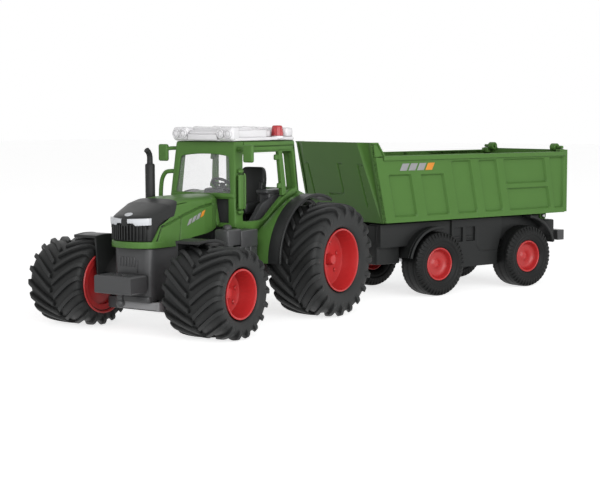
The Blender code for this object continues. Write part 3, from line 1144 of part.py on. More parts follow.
def build_trailer_frame(trailer):
    """Trailer chassis with its skirts, axle hangers, half mudguards and tip lugs, and what bolts to it."""
    ladder = box((-FRAME_HALF, FRAME_FRONT_Y, FRAME_LOW_Z), (FRAME_HALF, FRAME_REAR_Y, FRAME_TOP_Z))
    nose_end = TRAILER_AXLE_Y[0] - 33.5 * MM
    front_box = box((-FRAME_NOSE_HALF, FRAME_FRONT_Y, FRAME_NOSE_LOW_Z),
                    (FRAME_NOSE_HALF, nose_end, BED_BOTTOM_Z - GAP))
    reach = TRAILER_TYRE_RADIUS + SKIRT_GAP
    skirt_y = (TRAILER_AXLE_Y[0] + reach, TRAILER_AXLE_Y[1] - reach)
    skirts = box((-SKIRT_HALF, skirt_y[0], SKIRT_BOTTOM_Z), (SKIRT_HALF, skirt_y[1], SKIRT_TOP_Z))
    joins = [front_box, skirts]
    cuts = []
    for axle_y in TRAILER_AXLE_Y:
        joins.append(box((-FRAME_HALF, axle_y - HANGER_HALF, HANGER_LOW_Z),
                         (FRAME_HALF, axle_y + HANGER_HALF, FRAME_LOW_Z + OVERLAP)))
        ends = [(side * (FRAME_HALF + OVERLAP), axle_y, TRAILER_TYRE_RADIUS) for side in (-1, 1)]
        cuts.append(rod(*ends, TRAILER_AXLE_RADIUS + RUNNING))
    for axle_y, (gap, start, end) in zip(TRAILER_AXLE_Y, GUARD_SPANS):
        centre = (axle_y, TRAILER_TYRE_RADIUS)
        radius = TRAILER_TYRE_RADIUS + gap
        outline = arc(centre, radius + GUARD_THICK, start, end, 6) + arc(centre, radius, end, start, 6)
        for side in (1, -1):
            joins.append(prism(outline, "X", *sorted((side * (FRAME_HALF - 6 * MM), side * GUARD_OUTER_X))))
    for side in (1, -1):
        xs = sorted((side * (FRAME_HALF - 4 * MM), side * FRAME_HALF))
        joins.append(prism(tip_lug(TIP_AXIS_Z, FRAME_TOP_Z - OVERLAP), "X", *xs))
        cuts += skirt_louvres(side, skirt_y[0] + 2 * MM)
    ends = [(side * (FRAME_HALF + OVERLAP), TIP_AXIS_Y, TIP_AXIS_Z) for side in (-1, 1)]
    cuts.append(rod(*ends, TIP_ROD_RADIUS + RUNNING))
    piece("trailer_chassis", trailer, GREY, ladder, joins, cuts)
    ends = [(side * (FRAME_HALF + 6 * MM), TIP_AXIS_Y, TIP_AXIS_Z) for side in (-1, 1)]
    piece("tip_hinge_rod", trailer, STEEL, rod(*ends, TIP_ROD_RADIUS))
    build_drawbar(trailer)
    build_rear_bumper(trailer)


def skirt_louvres(side, start_y):
    """Pair of sunk panels in a skirt, each cut short by ribs that are left standing in its lower half."""
    xs = sorted((side * (SKIRT_HALF - LOUVRE_DEPTH), side * (SKIRT_HALF + OVERLAP)))
    low, high = LOUVRE_Z
    pitch = (high - low) / (2 * LOUVRE_RIBS)
    cuts = []
    for column in (0, 1):
        y = start_y + column * (LOUVRE_WIDTH + 3 * MM)
        cuts.append(box((xs[0], y, (low + high) / 2), (xs[1], y + LOUVRE_WIDTH, high)))
        for rib in range(LOUVRE_RIBS):
            foot = low + rib * pitch
            cuts.append(box((xs[0], y, foot), (xs[1], y + LOUVRE_WIDTH, foot + pitch - LOUVRE_RIB)))
    return cuts


def build_drawbar(trailer):
    """Flat draw bar that widens from its eye to the trailer's front."""
    low = TONGUE_TOP_Z + GAP
    end_y = FRAME_FRONT_Y - GAP
    outline = arc((0, 0), TONGUE_HALF, math.radians(200), math.radians(340), 6)
    outline += [(DRAWBAR_HALF, DRAWBAR_NECK_Y), (DRAWBAR_SPREAD, end_y), (-DRAWBAR_SPREAD, end_y)]
    outline += [(-DRAWBAR_HALF, DRAWBAR_NECK_Y)]
    hole = rod((0, 0, low - OVERLAP), (0, 0, low + DRAWBAR_THICK + OVERLAP), HITCH_PIN_RADIUS + RUNNING)
    piece("drawbar", trailer, GREY, prism(outline, "Z", low, low + DRAWBAR_THICK), cuts=[hole])


def build_rear_bumper(trailer):
    """Rear bumper beam on two short mounts."""
    low, high = BUMPER_Z
    near = FRAME_REAR_Y + BUMPER_STAND
    bumper = box((-BUMPER_HALF, near, low), (BUMPER_HALF, near + BUMPER_DEPTH, high))
    mounts = []
    for side in (1, -1):
        xs = sorted(side * x for x in BUMPER_MOUNT_X)
        mounts.append(box((xs[0], FRAME_REAR_Y + GAP, low + 2 * MM), (xs[1], near + OVERLAP, high - 2 * MM)))
    piece("rear_bumper", trailer, GREY, bumper, mounts)


def tip_lug(axis_z, base_z):
    """Lug outline in the YZ plane: round about the tip axis and straight to its base."""
    direction = 1 if base_z > axis_z else -1
    start = math.pi if direction > 0 else 0.0
    crown = arc((TIP_AXIS_Y, axis_z), TIP_LUG_RADIUS, start, start + math.pi, 6)
    last_y = crown[-1][0]
    first_y = crown[0][0]
    return crown + [(last_y, base_z), (first_y, base_z)]


def bed_lean(z):
    """Y of the leaning front panel's outer face at height z."""
    return BED_FRONT_Y - (z - BED_BOTTOM_Z) * BED_LEAN


def build_tipper(tipper, gate):
    """Open-topped bed with a leaning front, recessed side panels, tip lugs and a hinged tailgate.

    Both frames sit on their joint axes, so shapes are moved there from the trailer frame.
    """
    cap_front = bed_lean(BED_FRONT_TOP_Z)
    cap_rear = cap_front + BED_CAP_DEPTH
    slope_end = bed_lean(BED_RAIL_Z) + BED_CAP_DEPTH + 5 * MM
    outline = [(BED_FRONT_Y, BED_BOTTOM_Z), (cap_front, BED_FRONT_TOP_Z), (cap_rear, BED_FRONT_TOP_Z)]
    outline += [(slope_end, BED_RAIL_Z), (BED_REAR_Y, BED_RAIL_Z), (BED_REAR_Y, BED_BOTTOM_Z)]
    bed = prism(outline, "X", -BED_HALF, BED_HALF)
    floor = BED_BOTTOM_Z + BED_WALL
    above = BED_FRONT_TOP_Z + 20 * MM
    room_outline = [(bed_lean(floor) + BED_WALL, floor), (bed_lean(above) + BED_WALL, above)]
    room_outline += [(BED_REAR_Y + OVERLAP, above), (BED_REAR_Y + OVERLAP, floor)]
    inner = BED_HALF - BED_WALL
    room = prism(room_outline, "X", -inner, inner)
    joins = []
    cuts = [room, *front_grooves()]
    for side in (1, -1):
        rail_x = sorted((side * (BED_HALF - OVERLAP), side * (BED_HALF + RAIL_PROUD)))
        joins.append(box((rail_x[0], slope_end, BED_RAIL_Z - RAIL_HEIGHT),
                         (rail_x[1], BED_REAR_Y, BED_RAIL_Z)))
        bracket_x = sorted((side * (BED_HALF - BED_WALL), side * BED_HALF))
        joins.append(box((bracket_x[0], GATE_AXIS_Y - 4 * MM, BED_RAIL_Z - 6 * MM),
                         (bracket_x[1], BED_REAR_Y, GATE_AXIS_Z + 3 * MM)))
        lug_x = sorted((side * (FRAME_HALF + GAP), side * (FRAME_HALF + 4.5 * MM)))
        joins.append(prism(tip_lug(TIP_AXIS_Z, BED_BOTTOM_Z + OVERLAP), "X", *lug_x))
        panel_x = sorted((side * (BED_HALF - PANEL_DEPTH), side * (BED_HALF + OVERLAP)))
        cuts += [prism(panel, "X", *panel_x) for panel in side_panels()]
    ends = [(side * (FRAME_HALF + 8 * MM), TIP_AXIS_Y, TIP_AXIS_Z) for side in (-1, 1)]
    cuts.append(rod(*ends, TIP_ROD_RADIUS + RUNNING))
    pins = []
    for side in (1, -1):
        ends = [(side * x, GATE_AXIS_Y, GATE_AXIS_Z) for x in (BED_HALF - OVERLAP, GATE_LUG_X[0] - 2 * MM)]
        pins.append(rod(*ends, GATE_PIN_RADIUS))
    shift = Vector((0, -TIP_AXIS_Y, -TIP_AXIS_Z))
    for shape in [bed, *joins, *cuts, *pins]:
        bmesh.ops.translate(shape, verts=shape.verts, vec=shift)
    piece("tipper_body", tipper, GREEN, bed, joins, cuts, pins)
    build_tailgate(gate)


def front_grooves():
    """Three grooves sunk into the leaning front: one near each corner post and a hooked one between them."""
    base = BED_BOTTOM_Z
    top, foot = base + 51.5 * MM, base + 14.0 * MM
    hook = [(7.0 * MM, top), (11.5 * MM, base + 28.0 * MM), (6.0 * MM, base + 24.5 * MM)]
    hook += [(-11.0 * MM, base + 24.0 * MM)]
    lines = ([(-39.0 * MM, top), (-30.5 * MM, base + 25.0 * MM)], hook, [(36.0 * MM, top), (46.0 * MM, foot)])
    grooves = []
    for line in lines:
        points = [Vector(point) for point in line]
        left = []
        right = []
        for index, point in enumerate(points):
            ahead = points[min(index + 1, len(points) - 1)] - points[max(index - 1, 0)]
            across = Vector((-ahead.y, ahead.x)).normalized() * (GROOVE_WIDTH / 2)
            left.append(point + across)
            right.append(point - across)
        ring = left + right[::-1]
        layers = []
        for depth in (-OVERLAP, GROOVE_DEPTH):
            layers.append([(x, bed_lean(z) + depth, z) for x, z in ring])
        grooves.append(loft(layers))
    return grooves


def side_panels():
    """Recessed panels of the bed's sides, leaning with its front, low ones first."""
    spans = [(*span, PANEL_LOW_Z, PANEL_MIDDLE_Z) for span in LOW_PANELS]
    spans += [(*span, PANEL_LOW_Z, PANEL_HIGH_Z) for span in HIGH_PANELS]
    spans += [(*BARRED_PANEL, PANEL_LOW_Z, PANEL_BAR_Z[0]), (*BARRED_PANEL, PANEL_BAR_Z[1], PANEL_HIGH_Z)]
    panels = []
    for start, end, base, top in spans:
        corners = ((start, base), (start, top), (end, top), (end, base))
        panels.append([(y + panel_lean(z), z) for y, z in corners])
    rear = BED_REAR_Y - PANEL_REAR_EDGE
    panels.append([(LAST_PANEL_Y + panel_lean(PANEL_LOW_Z), PANEL_LOW_Z), (LAST_PANEL_Y, PANEL_HIGH_Z),
                   (rear, PANEL_HIGH_Z), (rear, PANEL_LOW_Z)])
    return panels


def panel_lean(z):
    """How far a panel's upright edge has moved back at height z, from its place at the panels' tops."""
    return (PANEL_HIGH_Z - z) * 0.95 * BED_LEAN


def build_tailgate(gate):
    """Tailgate hung from two round lugs on the bed's pins, with a ribbed outer face."""
    near = BED_REAR_Y + GAP
    far = near + GATE_THICK
    half = BED_HALF - 0.5 * MM
    top = BED_RAIL_Z - 0.5 * MM
    low = BED_BOTTOM_Z + 0.5 * MM
    plate = box((-half, near, low), (half, far, top))
    root_z = top - 6 * MM
    joins = []
    cuts = []
    for side in (1, -1):
        lug = arc((GATE_AXIS_Y, GATE_AXIS_Z), GATE_LUG_RADIUS, math.radians(45), math.radians(250), 6)
        outline = lug + [(near + 1 * MM, root_z), (far, root_z), (far, GATE_AXIS_Z - 1 * MM)]
        joins.append(prism(outline, "X", *sorted(side * x for x in GATE_LUG_X)))
        bore_x = (GATE_LUG_X[0] - 4 * MM, GATE_LUG_X[1] + 2 * MM)
        cuts.append(rod(*[(side * x, GATE_AXIS_Y, GATE_AXIS_Z) for x in bore_x], GATE_PIN_RADIUS + RUNNING))
    for x in GATE_RIB_X:
        joins.append(box((x - GATE_RIB_HALF, far - OVERLAP, low + 4 * MM),
                         (x + GATE_RIB_HALF, far + 1 * MM, top - 8 * MM)))
    shift = Vector((0, -GATE_AXIS_Y, -GATE_AXIS_Z))
    for shape in [plate, *joins, *cuts]:
        bmesh.ops.translate(shape, verts=shape.verts, vec=shift)
    piece("tailgate", gate, GREEN, plate, joins, cuts)


# Assembly


def build_tractor(tractor):
    rear_wheels = empty("rear_wheel_axis", tractor, (0, WHEELBASE, REAR_TYRE_RADIUS))
    centre_distance = GEAR_MODULE * (GEAR_TEETH + PINION_TEETH) / 2 + 0.2 * MM
    pinion = empty("pinion_axis", tractor, (0, WHEELBASE - centre_distance, REAR_TYRE_RADIUS))
    tie = empty("tie_rod_frame", tractor)
    knuckles = [(name, side, empty(f"kingpin_{name}", tractor, (side * KINGPIN_X, 0, 0)))
                for name, side in (("left", 1), ("right", -1))]
    build_chassis(tractor)
    build_drive(tractor, rear_wheels, pinion)
    build_steering(tractor, knuckles, tie)
    build_front_weight(tractor)
    build_side_tanks(tractor)
    build_hitch_pin(tractor)
    build_hood(tractor)
    build_cab(tractor)
    build_roof(tractor)
    build_cab_fittings(tractor)
    build_interior(tractor)
    build_rear_fenders(tractor)
    for name, side, knuckle in knuckles:
        hub = empty(f"front_hub_{name}", knuckle, (side * (FRONT_FACE_X - KINGPIN_X), 0, FRONT_TYRE_RADIUS))
        tractor_wheel("front", name, side, hub, FRONT_TYRE_RADIUS, FRONT_TYRE_WIDTH, FRONT_LIP_RADIUS,
                      STUB_RADIUS + RUNNING)
        rear_hub = empty(f"rear_hub_{name}", rear_wheels, (side * REAR_FACE_X, 0, 0))
        tractor_wheel("rear", name, side, rear_hub, REAR_TYRE_RADIUS, REAR_TYRE_WIDTH, REAR_LIP_RADIUS,
                      AXLE_RADIUS + GAP)


def build_trailer(trailer):
    build_trailer_frame(trailer)
    for end, axle_y in zip(("front", "rear"), TRAILER_AXLE_Y):
        axis = empty(f"trailer_axis_{end}", trailer, (0, axle_y, TRAILER_TYRE_RADIUS))
        reach = TRAILER_FACE_X - TRAILER_DISH - 1 * MM
        piece(f"trailer_axle_{end}", axis, STEEL, rod((-reach, 0, 0), (reach, 0, 0), TRAILER_AXLE_RADIUS))
        for name, side in (("left", 1), ("right", -1)):
            hub = empty(f"trailer_hub_{end}_{name}", axis, (side * TRAILER_FACE_X, 0, 0))
            trailer_wheel(end, name, side, hub)
    tipper = empty("tip_axis", trailer, (0, TIP_AXIS_Y, TIP_AXIS_Z))
    gate = empty("gate_axis", tipper, (0, GATE_AXIS_Y - TIP_AXIS_Y, GATE_AXIS_Z - TIP_AXIS_Z))
    build_tipper(tipper, gate)


def centre_on_base(root):
    """Moves the root so that the centre of the model's base is the world's origin."""
    bpy.context.view_layer.update()
    corners = []
    for obj in bpy.context.scene.objects:
        if obj.type == "MESH":
            points = np.empty(len(obj.data.vertices) * 3)
            obj.data.vertices.foreach_get("co", points)
            matrix = np.array(obj.matrix_world)
            corners.append(points.reshape(-1, 3) @ matrix[:3, :3].T + matrix[:3, 3])
    points = np.concatenate(corners)
    low = points.min(axis=0)
    high = points.max(axis=0)
    root.location = (-(low[0] + high[0]) / 2, -(low[1] + high[1]) / 2, -low[2])
    print("root shift in millimetres", [round(value / MM, 3) for value in root.location])
    print("size in millimetres", [round(value / MM, 2) for value in high - low])


def main():
    clear_scene()
    root = empty("tractor_and_trailer")
    tractor = empty("tractor_frame", root)
    trailer = empty("trailer_frame", root, (0, HITCH_Y, 0), HITCH_YAW)
    build_tractor(tractor)
    build_trailer(trailer)
    centre_on_base(root)
    bpy.context.view_layer.update()


main()
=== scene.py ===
"""Looks of a toy farm tractor and its tipping trailer: a Blender add-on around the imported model.

Lengths inside the shape functions are millimetres. Tractor frame: X to the tractor's left, Y to the rear,
Z up, zero on the ground under the front axle. Trailer frame: the same axes turned by the hitch angle,
zero on the ground under the hitch pin.
"""

import json
import math

import bmesh
import bpy
import numpy as np
from mathutils import Matrix, Vector


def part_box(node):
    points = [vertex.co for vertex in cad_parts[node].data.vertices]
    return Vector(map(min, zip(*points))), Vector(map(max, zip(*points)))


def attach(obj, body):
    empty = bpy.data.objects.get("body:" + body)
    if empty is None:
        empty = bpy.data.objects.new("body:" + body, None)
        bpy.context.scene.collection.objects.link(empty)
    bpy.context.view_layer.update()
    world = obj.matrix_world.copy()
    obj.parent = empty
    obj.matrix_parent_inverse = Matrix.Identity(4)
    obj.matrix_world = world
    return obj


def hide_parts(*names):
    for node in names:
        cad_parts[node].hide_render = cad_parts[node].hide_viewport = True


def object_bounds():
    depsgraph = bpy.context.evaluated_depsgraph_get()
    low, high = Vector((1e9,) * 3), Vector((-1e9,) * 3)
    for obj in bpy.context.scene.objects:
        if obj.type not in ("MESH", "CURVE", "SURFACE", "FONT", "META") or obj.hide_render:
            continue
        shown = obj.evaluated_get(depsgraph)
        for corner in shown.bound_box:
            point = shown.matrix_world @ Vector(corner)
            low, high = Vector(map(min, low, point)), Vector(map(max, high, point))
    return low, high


bl_info = {
    "name": "Toy Tractor Looks",
    "version": (1, 0, 0),
    "blender": (4, 5, 0),
    "location": "View3D > Sidebar > Toy Tractor",
    "description": "Builds the finished surfaces of a toy tractor and trailer around their packed model",
    "category": "Object",
}

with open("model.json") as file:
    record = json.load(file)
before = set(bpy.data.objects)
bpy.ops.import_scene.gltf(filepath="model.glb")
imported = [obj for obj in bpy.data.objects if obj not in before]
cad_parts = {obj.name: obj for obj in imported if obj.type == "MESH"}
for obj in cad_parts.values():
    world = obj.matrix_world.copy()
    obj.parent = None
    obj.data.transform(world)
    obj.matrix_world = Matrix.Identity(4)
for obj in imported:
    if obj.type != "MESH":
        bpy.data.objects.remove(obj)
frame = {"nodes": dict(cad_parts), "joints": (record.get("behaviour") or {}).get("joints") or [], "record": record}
CAD_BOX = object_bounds()
MM = 0.001
BODY_OF = {node: body for body, nodes in frame["record"]["behaviour"]["bodies"].items() for node in nodes}
SLOT_OF = {part["node"]: part["material_slot"] for part in frame["record"]["subparts"]}
JOINTS = {joint["name"]: joint for joint in frame["joints"]}


# Frames


def node_box(node):
    """Lowest and highest corner of a node, in metres."""
    low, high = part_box(node)
    return np.array(low), np.array(high)


AXLE_LOW, AXLE_HIGH = node_box("front_axle")
TRACTOR_ORIGIN = np.array([*(AXLE_LOW + AXLE_HIGH)[:2] / 2, 0.0])
TRAILER_ORIGIN = np.array([*JOINTS["hitch_yaw"]["pos_m"][:2], 0.0])
TRAILER_X = np.array(JOINTS["trailer_front_spin"]["axis"])
TRAILER_TURN = np.array([TRAILER_X, [-TRAILER_X[1], TRAILER_X[0], 0.0], [0.0, 0.0, 1.0]])


def on_tractor(points):
    """World points, in metres, of tractor frame points in millimetres."""
    return np.asarray(points, float) * MM + TRACTOR_ORIGIN


def on_trailer(points):
    """World points, in metres, of trailer frame points in millimetres."""
    return np.asarray(points, float) * MM @ TRAILER_TURN + TRAILER_ORIGIN


# Surfaces: each is a pair of a point array and a list of faces


def sheet(grid, wrap_u=False, wrap_v=False):
    """Quads between neighbours of a grid of points, with either direction closed on itself if asked."""
    rows, columns = grid.shape[:2]
    index = np.arange(rows * columns).reshape(rows, columns)
    if wrap_u:
        index = np.vstack([index, index[:1]])
    if wrap_v:
        index = np.hstack([index, index[:, :1]])
    quads = np.stack([index[:-1, :-1], index[1:, :-1], index[1:, 1:], index[:-1, 1:]], axis=-1)
    return grid.reshape(-1, 3), quads.reshape(-1, 4).tolist()


def joined(*surfaces):
    """One surface of several: their points in a row, with their faces counted on."""
    points = np.vstack([surface[0] for surface in surfaces])
    starts = np.cumsum([0] + [len(surface[0]) for surface in surfaces])
    faces = [[start + i for i in face] for start, surface in zip(starts, surfaces) for face in surface[1]]
    return points, faces


def placed(surface, place):
    """The surface with its points carried by a frame function."""
    return place(surface[0]), surface[1]


def grid_of(x, y, z):
    """Grid of points from three arrays that spread to one shape."""
    return np.stack(np.broadcast_arrays(x, y, z), axis=-1)


def smooth_curve(points, steps):
    """Catmull-Rom curve through the points: in each span, a cubic blend of its four neighbours."""
    p = np.asarray(points, float)
    p = np.vstack([2 * p[0] - p[1], p, 2 * p[-1] - p[-2]])
    t = np.linspace(0, 1, steps, endpoint=False)[None, :, None]
    a, b, c, d = (p[i : len(p) - 3 + i][:, None] for i in range(4))
    square, cube = 2 * a - 5 * b + 4 * c - d, 3 * b - a - 3 * c + d
    curve = 0.5 * (2 * b + (c - a) * t + square * t**2 + cube * t**3)
    return np.vstack([curve.reshape(-1, p.shape[1]), p[-2:-1]])


def round_x(along, out, turn):
    """Surface closed round the X axis: along it, and out from it by a radius times cosine and sine."""
    return sheet(grid_of(along, -out * np.cos(turn), out * np.sin(turn)), wrap_u=True, wrap_v=True)


def turned(profile, count):
    """A closed profile of (along, radius) pairs carried round the X axis."""
    along, radius = np.asarray(profile, float).T
    return round_x(along, radius, np.linspace(0, math.tau, count, endpoint=False)[:, None])


def block(low, high, radius, steps=3):
    """Rounded box: an eighth of a sphere at each corner, with the flats between them."""
    low, high = np.minimum(low, high), np.maximum(low, high)
    radius = min(radius, *(high - low) / 2.001)
    quarter = np.linspace(0, math.pi / 2, steps + 1)
    turn = np.concatenate([quarter + i * math.pi / 2 for i in range(4)])
    rise = np.concatenate([quarter - math.pi / 2, quarter])
    signs = np.repeat([[1, 1], [-1, 1], [-1, -1], [1, -1]], steps + 1, axis=0)
    level = np.repeat([-1, 1], steps + 1)
    ball = grid_of(np.cos(turn)[:, None] * np.cos(rise), np.sin(turn)[:, None] * np.cos(rise), np.sin(rise))
    corner = grid_of(signs[:, :1], signs[:, 1:], level)
    grid = (low + high) / 2 + ball * radius + corner * ((high - low) / 2 - radius)
    centre = grid.mean(axis=(0, 1))
    bottom = np.broadcast_to([*centre[:2], low[2]], (len(turn), 1, 3))
    top = np.broadcast_to([*centre[:2], high[2]], (len(turn), 1, 3))
    return sheet(np.concatenate([bottom, grid, top], axis=1), wrap_u=True)


def tube(path, radius, sides=12):
    """A circle carried along a path, square to it, with its ends closed to a point."""
    path = np.asarray(path, float)
    ahead = np.gradient(path, axis=0)
    ahead /= np.linalg.norm(ahead, axis=1, keepdims=True)
    axis = np.eye(3)[np.argmin(np.abs(ahead).sum(axis=0))]
    across = np.cross(ahead, axis)
    across /= np.linalg.norm(across, axis=1, keepdims=True)
    up = np.cross(across, ahead)
    radius = np.broadcast_to(radius, len(path))[:, None, None]
    angle = np.linspace(0, math.tau, sides, endpoint=False)[None, :, None]
    rings = path[:, None] + radius * (np.cos(angle) * across[:, None] + np.sin(angle) * up[:, None])
    first = np.broadcast_to(path[0], (1, sides, 3))
    last = np.broadcast_to(path[-1], (1, sides, 3))
    return sheet(np.concatenate([first, rings, last]), wrap_v=True)


def slab(front, back):
    """Closed body between two grids of the same shape: both sheets and a strip round their border."""
    rows, columns = front.shape[:2]
    points, faces = joined(sheet(front), sheet(back))
    index = np.arange(rows * columns).reshape(rows, columns)
    rim = np.concatenate([index[0, :-1], index[:-1, -1], index[-1, :0:-1], index[:0:-1, 0]])
    ahead = np.roll(rim, -1)
    strip = np.column_stack([rim, ahead, ahead + rows * columns, rim + rows * columns])
    return points, faces + strip.tolist()


def spread(*lines):
    """Sorted grid lines without repeats."""
    return np.unique(np.round(np.concatenate([np.ravel(line) for line in lines]), 4))


def sunk(u, v, panels, edge):
    """Depth of sunk panels (u0, u1, v0, v1, depth) over a grid: a flat floor with sloped sides."""
    depth = np.zeros(np.broadcast(u, v).shape)
    for u0, u1, v0, v1, deep in panels:
        inside = np.minimum(np.minimum(u - u0, u1 - u), np.minimum(v - v0, v1 - v))
        depth += deep * np.clip(inside / edge, 0.0, 1.0)
    return depth


def panel_lines(panels, edge, first):
    """Grid lines at the edges of sunk panels and at the feet of their slopes."""
    ends = np.array([panel[first : first + 2] for panel in panels])
    return spread(ends[:, 0], ends[:, 0] + edge, ends[:, 1] - edge, ends[:, 1])


def near_line(u, v, line):
    """Distance over a grid from a polyline: the least distance from its segments."""
    line = np.asarray(line, float)
    point = np.stack(np.broadcast_arrays(u, v), axis=-1)[..., None, :]
    start, run = line[:-1], np.diff(line, axis=0)
    share = np.clip(((point - start) * run).sum(-1) / (run**2).sum(-1), 0.0, 1.0)
    return np.linalg.norm(point - start - share[..., None] * run, axis=-1).min(-1)


def groove(distance, width, depth):
    """Depth of a moulded groove: full within half its width, with a steep soft wall."""
    return depth * np.clip(1.5 - 2.0 * distance / width, 0.0, 1.0)


def fillet(corners, radii, steps=4):
    """Closed outline whose corners are rounded: each becomes a parabola that leaves a radius before it."""
    c = np.asarray(corners, float)
    before, after = np.roll(c, 1, axis=0) - c, np.roll(c, -1, axis=0) - c
    back, ahead = (np.linalg.norm(side, axis=1, keepdims=True) for side in (before, after))
    asked = np.broadcast_to(np.reshape(radii, (-1, 1)), (len(c), 1))
    reach = np.minimum(asked, 0.49 * np.minimum(back, ahead))
    start, end = c + before / back * reach, c + after / ahead * reach
    t = np.linspace(0, 1, steps + 1)[None, :, None]
    curve = (1 - t) ** 2 * start[:, None] + 2 * t * (1 - t) * c[:, None] + t**2 * end[:, None]
    return curve.reshape(-1, c.shape[1])


def resampled(outline, count):
    """Closed outline drawn with evenly spaced points."""
    ring = np.vstack([outline, outline[:1]])
    length = np.concatenate([[0.0], np.cumsum(np.linalg.norm(np.diff(ring, axis=0), axis=1))])
    stops = np.linspace(0, length[-1], count, endpoint=False)
    return np.column_stack([np.interp(stops, length, ring[:, i]) for i in range(2)])


def arc(centre, radius, start, end, count):
    """Points on a circle from one angle, in degrees, to another."""
    angle = np.radians(np.linspace(start, end, count))
    return np.column_stack([centre[0] + radius * np.cos(angle), centre[1] + radius * np.sin(angle)])


AXES = {"X": (2, 0, 1), "Y": (0, 2, 1), "Z": (0, 1, 2)}


def plate(outline, axis, low, high, round_by=0.4):
    """An outline carried along an axis, drawn in along its normals at both rounded ends, and capped."""
    outline = np.asarray(outline, float)
    ahead = np.roll(outline, -1, axis=0) - np.roll(outline, 1, axis=0)
    turn = np.sign(np.cross(outline, np.roll(outline, -1, axis=0)).sum())
    inward = turn * np.column_stack([-ahead[:, 1], ahead[:, 0]])
    inward /= np.maximum(np.linalg.norm(inward, axis=1, keepdims=True), 1e-9)
    low, high = min(low, high), max(low, high)
    angle = np.linspace(0, math.pi / 2, 4)
    inset = round_by * np.concatenate([1 - np.sin(angle), 1 - np.cos(angle)])
    level = np.concatenate([low + round_by * (1 - np.cos(angle)), high - round_by * (1 - np.sin(angle))])
    ring = outline + inward * inset[:, None, None]
    grid = np.concatenate([ring, np.broadcast_to(level[:, None, None], (*ring.shape[:2], 1))], axis=-1)
    points, faces = sheet(grid[..., AXES[axis]], wrap_v=True)
    count = len(outline)
    last = len(points) - count
    return points, faces + [list(range(count)), list(range(last, last + count))]


def frame_ring(outer, inner, axis, outside, thick, radius=0.5):
    """Flat frame round an opening: a section with rounded corners carried round two matched outlines."""
    outer, inner = np.asarray(outer, float), np.asarray(inner, float)
    width = np.linalg.norm(inner - outer, axis=1)
    swing = np.linspace(0, math.pi / 2, 4)
    corner, drop = radius * (1 - np.cos(swing)), radius * (1 - np.sin(swing))
    inset = np.concatenate([[0.0], corner, corner[::-1], [0.0]])
    depth = np.concatenate([[abs(thick)], drop, drop[::-1], [abs(thick)]])
    share = inset[:, None] / width
    share[5:] = 1 - share[5:]
    flat = outer + (inner - outer) * share[..., None]
    level = outside - np.sign(thick) * depth[:, None, None]
    grid = np.concatenate([flat, np.broadcast_to(level, (*flat.shape[:2], 1))], axis=-1)
    return sheet(grid[..., AXES[axis]], wrap_u=True, wrap_v=True)


def moved(surface, shift):
    """The surface carried by a shift."""
    return surface[0] + np.asarray(shift, float), surface[1]


def mirrored(surface):
    """The surface reflected to the other side of the vehicle."""
    return surface[0] * (-1.0, 1.0, 1.0), surface[1]


def both_sides(surface):
    """The surface and its reflection."""
    return joined(surface, mirrored(surface))


# Pieces


SHARP = math.radians(32)
NODE_SHARP = math.radians(35)
MERGE = 0.002 * MM
DEGENERATE = 0.001 * MM
EDGE_WIDTH = 0.35
EDGE_SEGMENTS = 2
EDGE_ANGLE = math.radians(28)


def finished(name, surface, body, slot, finish, replaces):
    """Puts a surface into a mesh object, merges its seams and poles and hangs it on a body."""
    mesh = bpy.data.meshes.new(name)
    mesh.from_pydata(surface[0], [], surface[1])
    shape = bmesh.new()
    shape.from_mesh(mesh)
    bmesh.ops.remove_doubles(shape, verts=shape.verts, dist=MERGE)
    bmesh.ops.dissolve_degenerate(shape, edges=shape.edges, dist=DEGENERATE)
    bmesh.ops.recalc_face_normals(shape, faces=shape.faces)
    shape.to_mesh(mesh)
    shape.free()
    return hung(name, mesh, body, slot, finish, replaces)


def hung(name, mesh, body, slot, finish, replaces, sharp=SHARP):
    """Links a mesh as an object that rides on a body, takes a finish and stands for nodes."""
    mesh.shade_smooth()
    mesh.set_sharp_from_angle(angle=sharp)
    mesh.materials.clear()
    mesh.materials.append(finish)
    obj = bpy.data.objects.new(name, mesh)
    bpy.context.scene.collection.objects.link(obj)
    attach(obj, body)
    if replaces:
        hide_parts(*replaces)
    return obj


def put(name, surface, node, place, finish=None, slot=None, stands_for=True):
    """Finishes a surface in millimetres as a node's shell, in its slot's finish unless another is named."""
    slot = slot or SLOT_OF[node]
    replaced = [node] if stands_for else []
    return finished(name, placed(surface, place), BODY_OF[node], slot, FINISHES[finish or slot], replaced)


def put_pairs(*pairs):
    """Finishes left surfaces and their reflections as shells of the tractor's left and right nodes."""
    for side in ("left", "right"):
        for name, surface, node in pairs:
            half = surface if side == "left" else mirrored(surface)
            put(f"{side}_{name}", half, f"{node}_{side}", on_tractor)


def softened(node):
    """A merged copy of a node with its edges rounded by a bevel."""
    mesh = frame["nodes"][node].data.copy()
    shape = bmesh.new()
    shape.from_mesh(mesh)
    bmesh.ops.remove_doubles(shape, verts=shape.verts, dist=MERGE)
    shape.to_mesh(mesh)
    shape.free()
    slot = SLOT_OF[node]
    obj = hung(f"{node}_shell", mesh, BODY_OF[node], slot, FINISHES[slot], [node], NODE_SHARP)
    bevel = obj.modifiers.new("rounded_edges", "BEVEL")
    bevel.width = EDGE_WIDTH * MM
    bevel.segments = EDGE_SEGMENTS
    bevel.limit_method = "ANGLE"
    bevel.angle_limit = EDGE_ANGLE
    bevel.use_clamp_overlap = True
    bevel.miter_outer = "MITER_ARC"
    return obj


# Materials


class Value:
    """A socket that reads as a number in Python expressions: each operator adds one Math node."""

    def __init__(self, paint, socket):
        self.paint = paint
        self.socket = socket

    def __add__(self, other):
        return self.paint.maths("ADD", self, other)

    def __mul__(self, other):
        return self.paint.maths("MULTIPLY", self, other)

    __radd__ = __add__
    __rmul__ = __mul__


